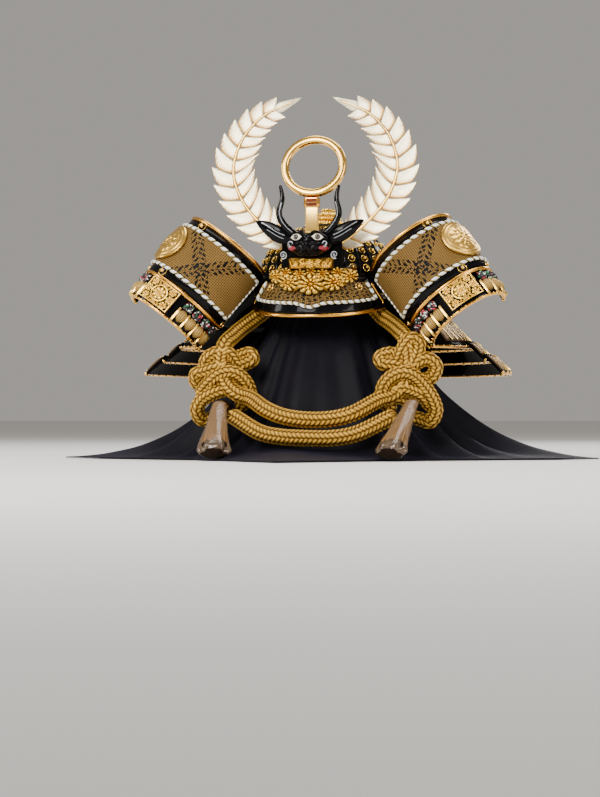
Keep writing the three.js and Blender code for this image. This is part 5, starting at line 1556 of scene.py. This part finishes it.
# %% Curl rims, braids and rivets
rim_arcs = np.linspace(2.5, 113.5, 110)
rim_turns = turn_at(rim_arcs)
rims = {
    level: tube(on_curl_front(rim_turns, down, -0.75), 1.6, 12, UP)
    for level, down in (("top", -1.75), ("bottom", 52.75))
}
braid_turns = turn_at(np.linspace(4.5, 112, 260))
edge_braids = [rope(on_curl_front(braid_turns, down, 1.5), 1.3, 6.4, UP) for down in (6.9, 44.3)]
end_downs = np.linspace(7, 44.2, 80)
end_braids = [rope(on_curl_front(turn_at(arc), end_downs, 1.4), 0.75, 4.0) for arc in (4.6, 111.6)]
rivet_turn, rivet_down = np.array([120, 121, 3, 172]), np.array([2.4, 48.2, 49.0, 48.6])
rivet_normals = curl_normals(rivet_turn, rivet_down)
rivets = placed(STUD, on_curl_front(rivet_turn, rivet_down, 0.2), rivet_normals, UP, [1.15, 1.15, 0.85, 0.85])

# %% [markdown]
# The disc is a shallow dome with a generic flower of ten petals in low relief inside a plain rim. It is
# turned flat first and then laid on the curl, so it follows the curl's bend.

# %% Discs
DISC_RADIUS, DISC_TURN, DISC_DOWN, DISC_FOOT = 16.0, 147.0, 25.5, 2.3


def laid_on_curl(shape, centre_turn, centre_down):
    """x runs round the curl, y up it and z away from it, from a centre."""
    x, y, z = shape.points.T
    arc = np.interp(centre_turn, CURL_TURNS, CURL_ARCS) + x
    return shape.moved(lambda p: on_curl_front(turn_at(arc), centre_down - y, z))


r, turn = crossed(np.linspace(1, 0, 44), round_turn(120))
x, y = DISC_RADIUS * r * np.cos(turn), DISC_RADIUS * r * np.sin(turn)
flower = bloom(x, y, 0, 0, 10.5, 10)
ring_edge = bell(r - 0.95, 0.035) + bell(r - 0.8, 0.03) * 0.6
height = DISC_FOOT + 1.4 + 1.9 * (1 - r**2) + 0.9 * flower + 0.5 * ring_edge
disc_points = np.concatenate([
    xyz(0 * x[:1], 0.0, DISC_FOOT), xyz(x[:1], y[:1], DISC_FOOT), xyz(x, y, height),
])
disc_relief = np.concatenate([0.5 + 0 * r[:2], 0.45 + 0.5 * flower + 0.3 * ring_edge])
disc = net(disc_points, (False, True), relief=disc_relief)
disc = laid_on_curl(disc, DISC_TURN, DISC_DOWN).outward()
disc_gold = gilt("disc_gold", (0.9, 0.54, 0.11), (0.12, 0.04, 0.006), 0.26)
plate_gold = gilt("plate_gold", (1.0, 0.61, 0.1), (0.08, 0.025, 0.003), 0.22)

# %% [markdown]
# ### The openwork plate
# Below the lower rim a small pierced plate is laid over the second lame. It is cut from thick sheet and
# chased: a flower in a ring in the middle, smaller flowers and scrolls round it, and holes right through.
# The piercings are places where the relief is low, where the net's faces are simply left out.

# %% Openwork plates
OPENWORK_TURN, OPENWORK_DOWN = 102.0, 64.1
xs, ys = np.linspace(-14.2, 14.2, 152), np.linspace(-10.2, 10.2, 108)
x, y = crossed(xs, ys)
openwork_blooms = [(0, 0, 5.4, 8)] + [
    (s * cx, cy, radius, 6)
    for cx, cy, radius in ((10.2, 0, 3.4), (8.6, 6.2, 3.1), (8.6, -6.2, 3.1)) for s in (-1, 1)
]
openwork_leaves = [(0, 7.9, 3.2, 0), (0, -7.9, 3.2, 0)] + both_sides([
    (4.4, 7.2, 2.4, 60), (4.4, -7.2, 2.4, 120), (12.6, 3.6, 2.2, 100), (12.6, -3.6, 2.2, 80),
])
frame_line = np.maximum(np.abs(x) / 13.0, np.abs(y) / 9.0)
carved = np.maximum.reduce([
    carving(x, y, openwork_blooms, openwork_leaves), 0.6 * dome((np.hypot(x, y) - 6.3) / 0.8),
    0.55 * dome((frame_line - 1) / 0.055),
])
keep = (middles(carved) > 0.12) & (middles(frame_line) < 1.055)
openwork = net(xyz(x, y, 2.0 + 1.3 * carved), relief=carved * 1.2, keep=keep)
openwork = laid_on_curl(openwork, OPENWORK_TURN, OPENWORK_DOWN)
openwork = facing(openwork, curl_normals([OPENWORK_TURN], [60.0])[0])

# %% [markdown]
# ### Knots and puffs under the rim
# Under the lower rim the second lame is laced to the first by small knots of black cord flecked with white,
# red and green, and its front is covered by silk puffs with gilt slats between them.

# %% Knots and puffs
knot_cord = Finish("knot_cord", Roughness=0.45)
fleck = knot_cord.noise(520.0, detail=0.0)
hue = knot_cord.noise(300.0, detail=0.0)
flecked = knot_cord.mix(hue > 0.56, (0.85, 0.85, 0.8), (0.5, 0.01, 0.03))
flecked = knot_cord.mix(hue < 0.42, flecked, (0.01, 0.2, 0.07))
knot_cord.feed(Base_Color=knot_cord.mix(fleck > 0.585, (0.006, 0.006, 0.008), flecked))
knot_cord.bump(knot_cord.noise(1500.0), 0.2)
knot_arcs = np.array([7, 16.5, 26, 35.5, 84, 93.5, 103])
knot_turn = round_turn(90)
knot_path = about_z(2.2 + 0.8 * np.cos(5 * knot_turn), 2 * knot_turn, 1.4 + 1.1 * np.sin(5 * knot_turn))
small_knot = joined([
    tube(knot_path, 1.15, 8, UP, closed=True),
    turned([(0, -1), (2.2, -0.5), (2.4, 1), (1.6, 2.2), (0, 2.6)], 12),
])
knot_normals = curl_normals(turn_at(knot_arcs), 58.6)
small_knots = placed(small_knot, on_curl_front(turn_at(knot_arcs), 58.4, -2.6), knot_normals, CURL_DOWN, 1.0)

PUFF_RIDGES, PUFF_DOWN = 14, 67.0
rise, turn = crossed(np.linspace(0, 1, 17), round_turn(56))
girth = np.sin(np.pi * np.clip(rise, 0, 1)) ** 0.6
ridge = np.abs(np.cos(PUFF_RIDGES / 2 * turn))
puff_points = xyz(
    4.5 * girth * np.cos(turn) * (0.8 + 0.2 * rise), 5.6 * (rise - 0.5) * 2,
    3.4 * girth * np.sin(turn) * (0.84 + 0.16 * ridge),
)
puff = net(puff_points, (False, True), relief=0.05 + 0.9 * girth * (0.1 + 0.9 * ridge)).outward()
puff_normals = curl_normals(turn_at(knot_arcs), PUFF_DOWN)
puffs = placed(puff, on_curl_front(turn_at(knot_arcs), PUFF_DOWN, -2.0), puff_normals, CURL_ACROSS)
slats = joined([
    bar(on_curl_front(turn_at(arc), np.linspace(62, 75, 4), -1.2), 0.9, 0.6, FRONT, 12)
    for arc in (2.4, 11.8, 21.3, 30.8, 40.2, 79.2, 88.8, 98.2, 107.6)
])

# %% The pieces of both curls
for name, flip in SIDES.items():
    piece(
        f"curl_leather_{name}", [(flip(leather), curl_leather)], [f"turnback_leather_{name}"],
        wall=0.8,
    )
    for level, rim in rims.items():
        piece(f"curl_rim_{level}_{name}", [(flip(rim), rim_gold)], [f"turnback_rim_{level}_{name}"])
    braids = flip(joined([*edge_braids, *end_braids]))
    piece(f"curl_braids_{name}", [(braids, pale_braid)])
    piece(f"curl_rivets_{name}", [(flip(rivets), bright_gold)])
    piece(f"curl_disc_{name}", [(flip(disc), disc_gold)], [f"crest_disc_{name}"])
    piece(f"openwork_{name}", [(flip(openwork), plate_gold)], [f"openwork_plate_{name}"], wall=0.9)
    piece(f"curl_lacing_{name}", [(flip(puffs), lace_silk), (flip(slats), bright_gold)])
    piece(f"curl_knots_{name}", [(flip(small_knots), knot_cord)])

# %% [markdown]
# ## Floor and light
# Gold has no colour of its own to show: it shows what stands round it. So the studio has a few large soft
# lamps with darker gaps between them, over a plain pale floor, and the world is a dim even grey.

# %% Studio
floor_finish = mottled("studio_floor", 3.0, (0.8, 0.79, 0.77), (0.77, 0.76, 0.75), Roughness=0.85)
floor_mesh = bpy.data.meshes.new("floor")
floor_mesh.from_pydata([(-30, -30, 0), (30, -30, 0), (30, 30, 0), (-30, 30, 0)], [], [(0, 1, 2, 3)])
floor_mesh.materials.append(floor_finish.material)
floor = bpy.data.objects.new("floor", floor_mesh)
bpy.context.scene.collection.objects.link(floor)

world = bpy.data.worlds.new("studio")
bpy.context.scene.world = world
world.use_nodes = True
world.node_tree.nodes["Background"].inputs["Color"].default_value = (1.0, 0.95, 0.88, 1)
world.node_tree.nodes["Background"].inputs["Strength"].default_value = 0.38

# Name, place, the point it faces, width, height, watts, colour
LAMPS = [
    ("front_softbox", (-0.55, -1.5, 1.25), (0, 0, 0.12), 1.0, 0.7, 24, (1.0, 0.97, 0.92)),
    ("crest_light", (-0.28, -1.4, 0.78), (0, -0.06, 0.22), 0.45, 0.32, 10, (1.0, 0.98, 0.94)),
    ("right_softbox", (1.3, -0.75, 0.7), (0, 0, 0.12), 0.5, 0.9, 12, (1.0, 0.96, 0.9)),
    ("left_strip", (-1.3, -0.3, 0.55), (0, 0, 0.14), 0.25, 0.9, 8, (1.0, 0.98, 0.95)),
    ("top_softbox", (0.1, 0.25, 1.5), (0, 0, 0.1), 1.1, 0.8, 18, (1.0, 1.0, 1.0)),
    ("back_strip", (0.5, 1.4, 0.9), (0, 0, 0.14), 0.9, 0.3, 10, (1.0, 0.97, 0.93)),
]
for name, place, target, width, depth, watts, colour in LAMPS:
    light = bpy.data.lights.new(name, "AREA")
    light.shape, light.size, light.size_y = "RECTANGLE", width, depth
    light.energy, light.color = watts, colour
    lamp = bpy.data.objects.new(name, light)
    lamp.location = place
    toward = unit(np.array(target) - np.array(place))
    lamp.rotation_euler = (np.arccos(-toward[2]), 0, np.arctan2(toward[0], -toward[1]) + np.pi)
    bpy.context.scene.collection.objects.link(lamp)
print("lamps", len(LAMPS))
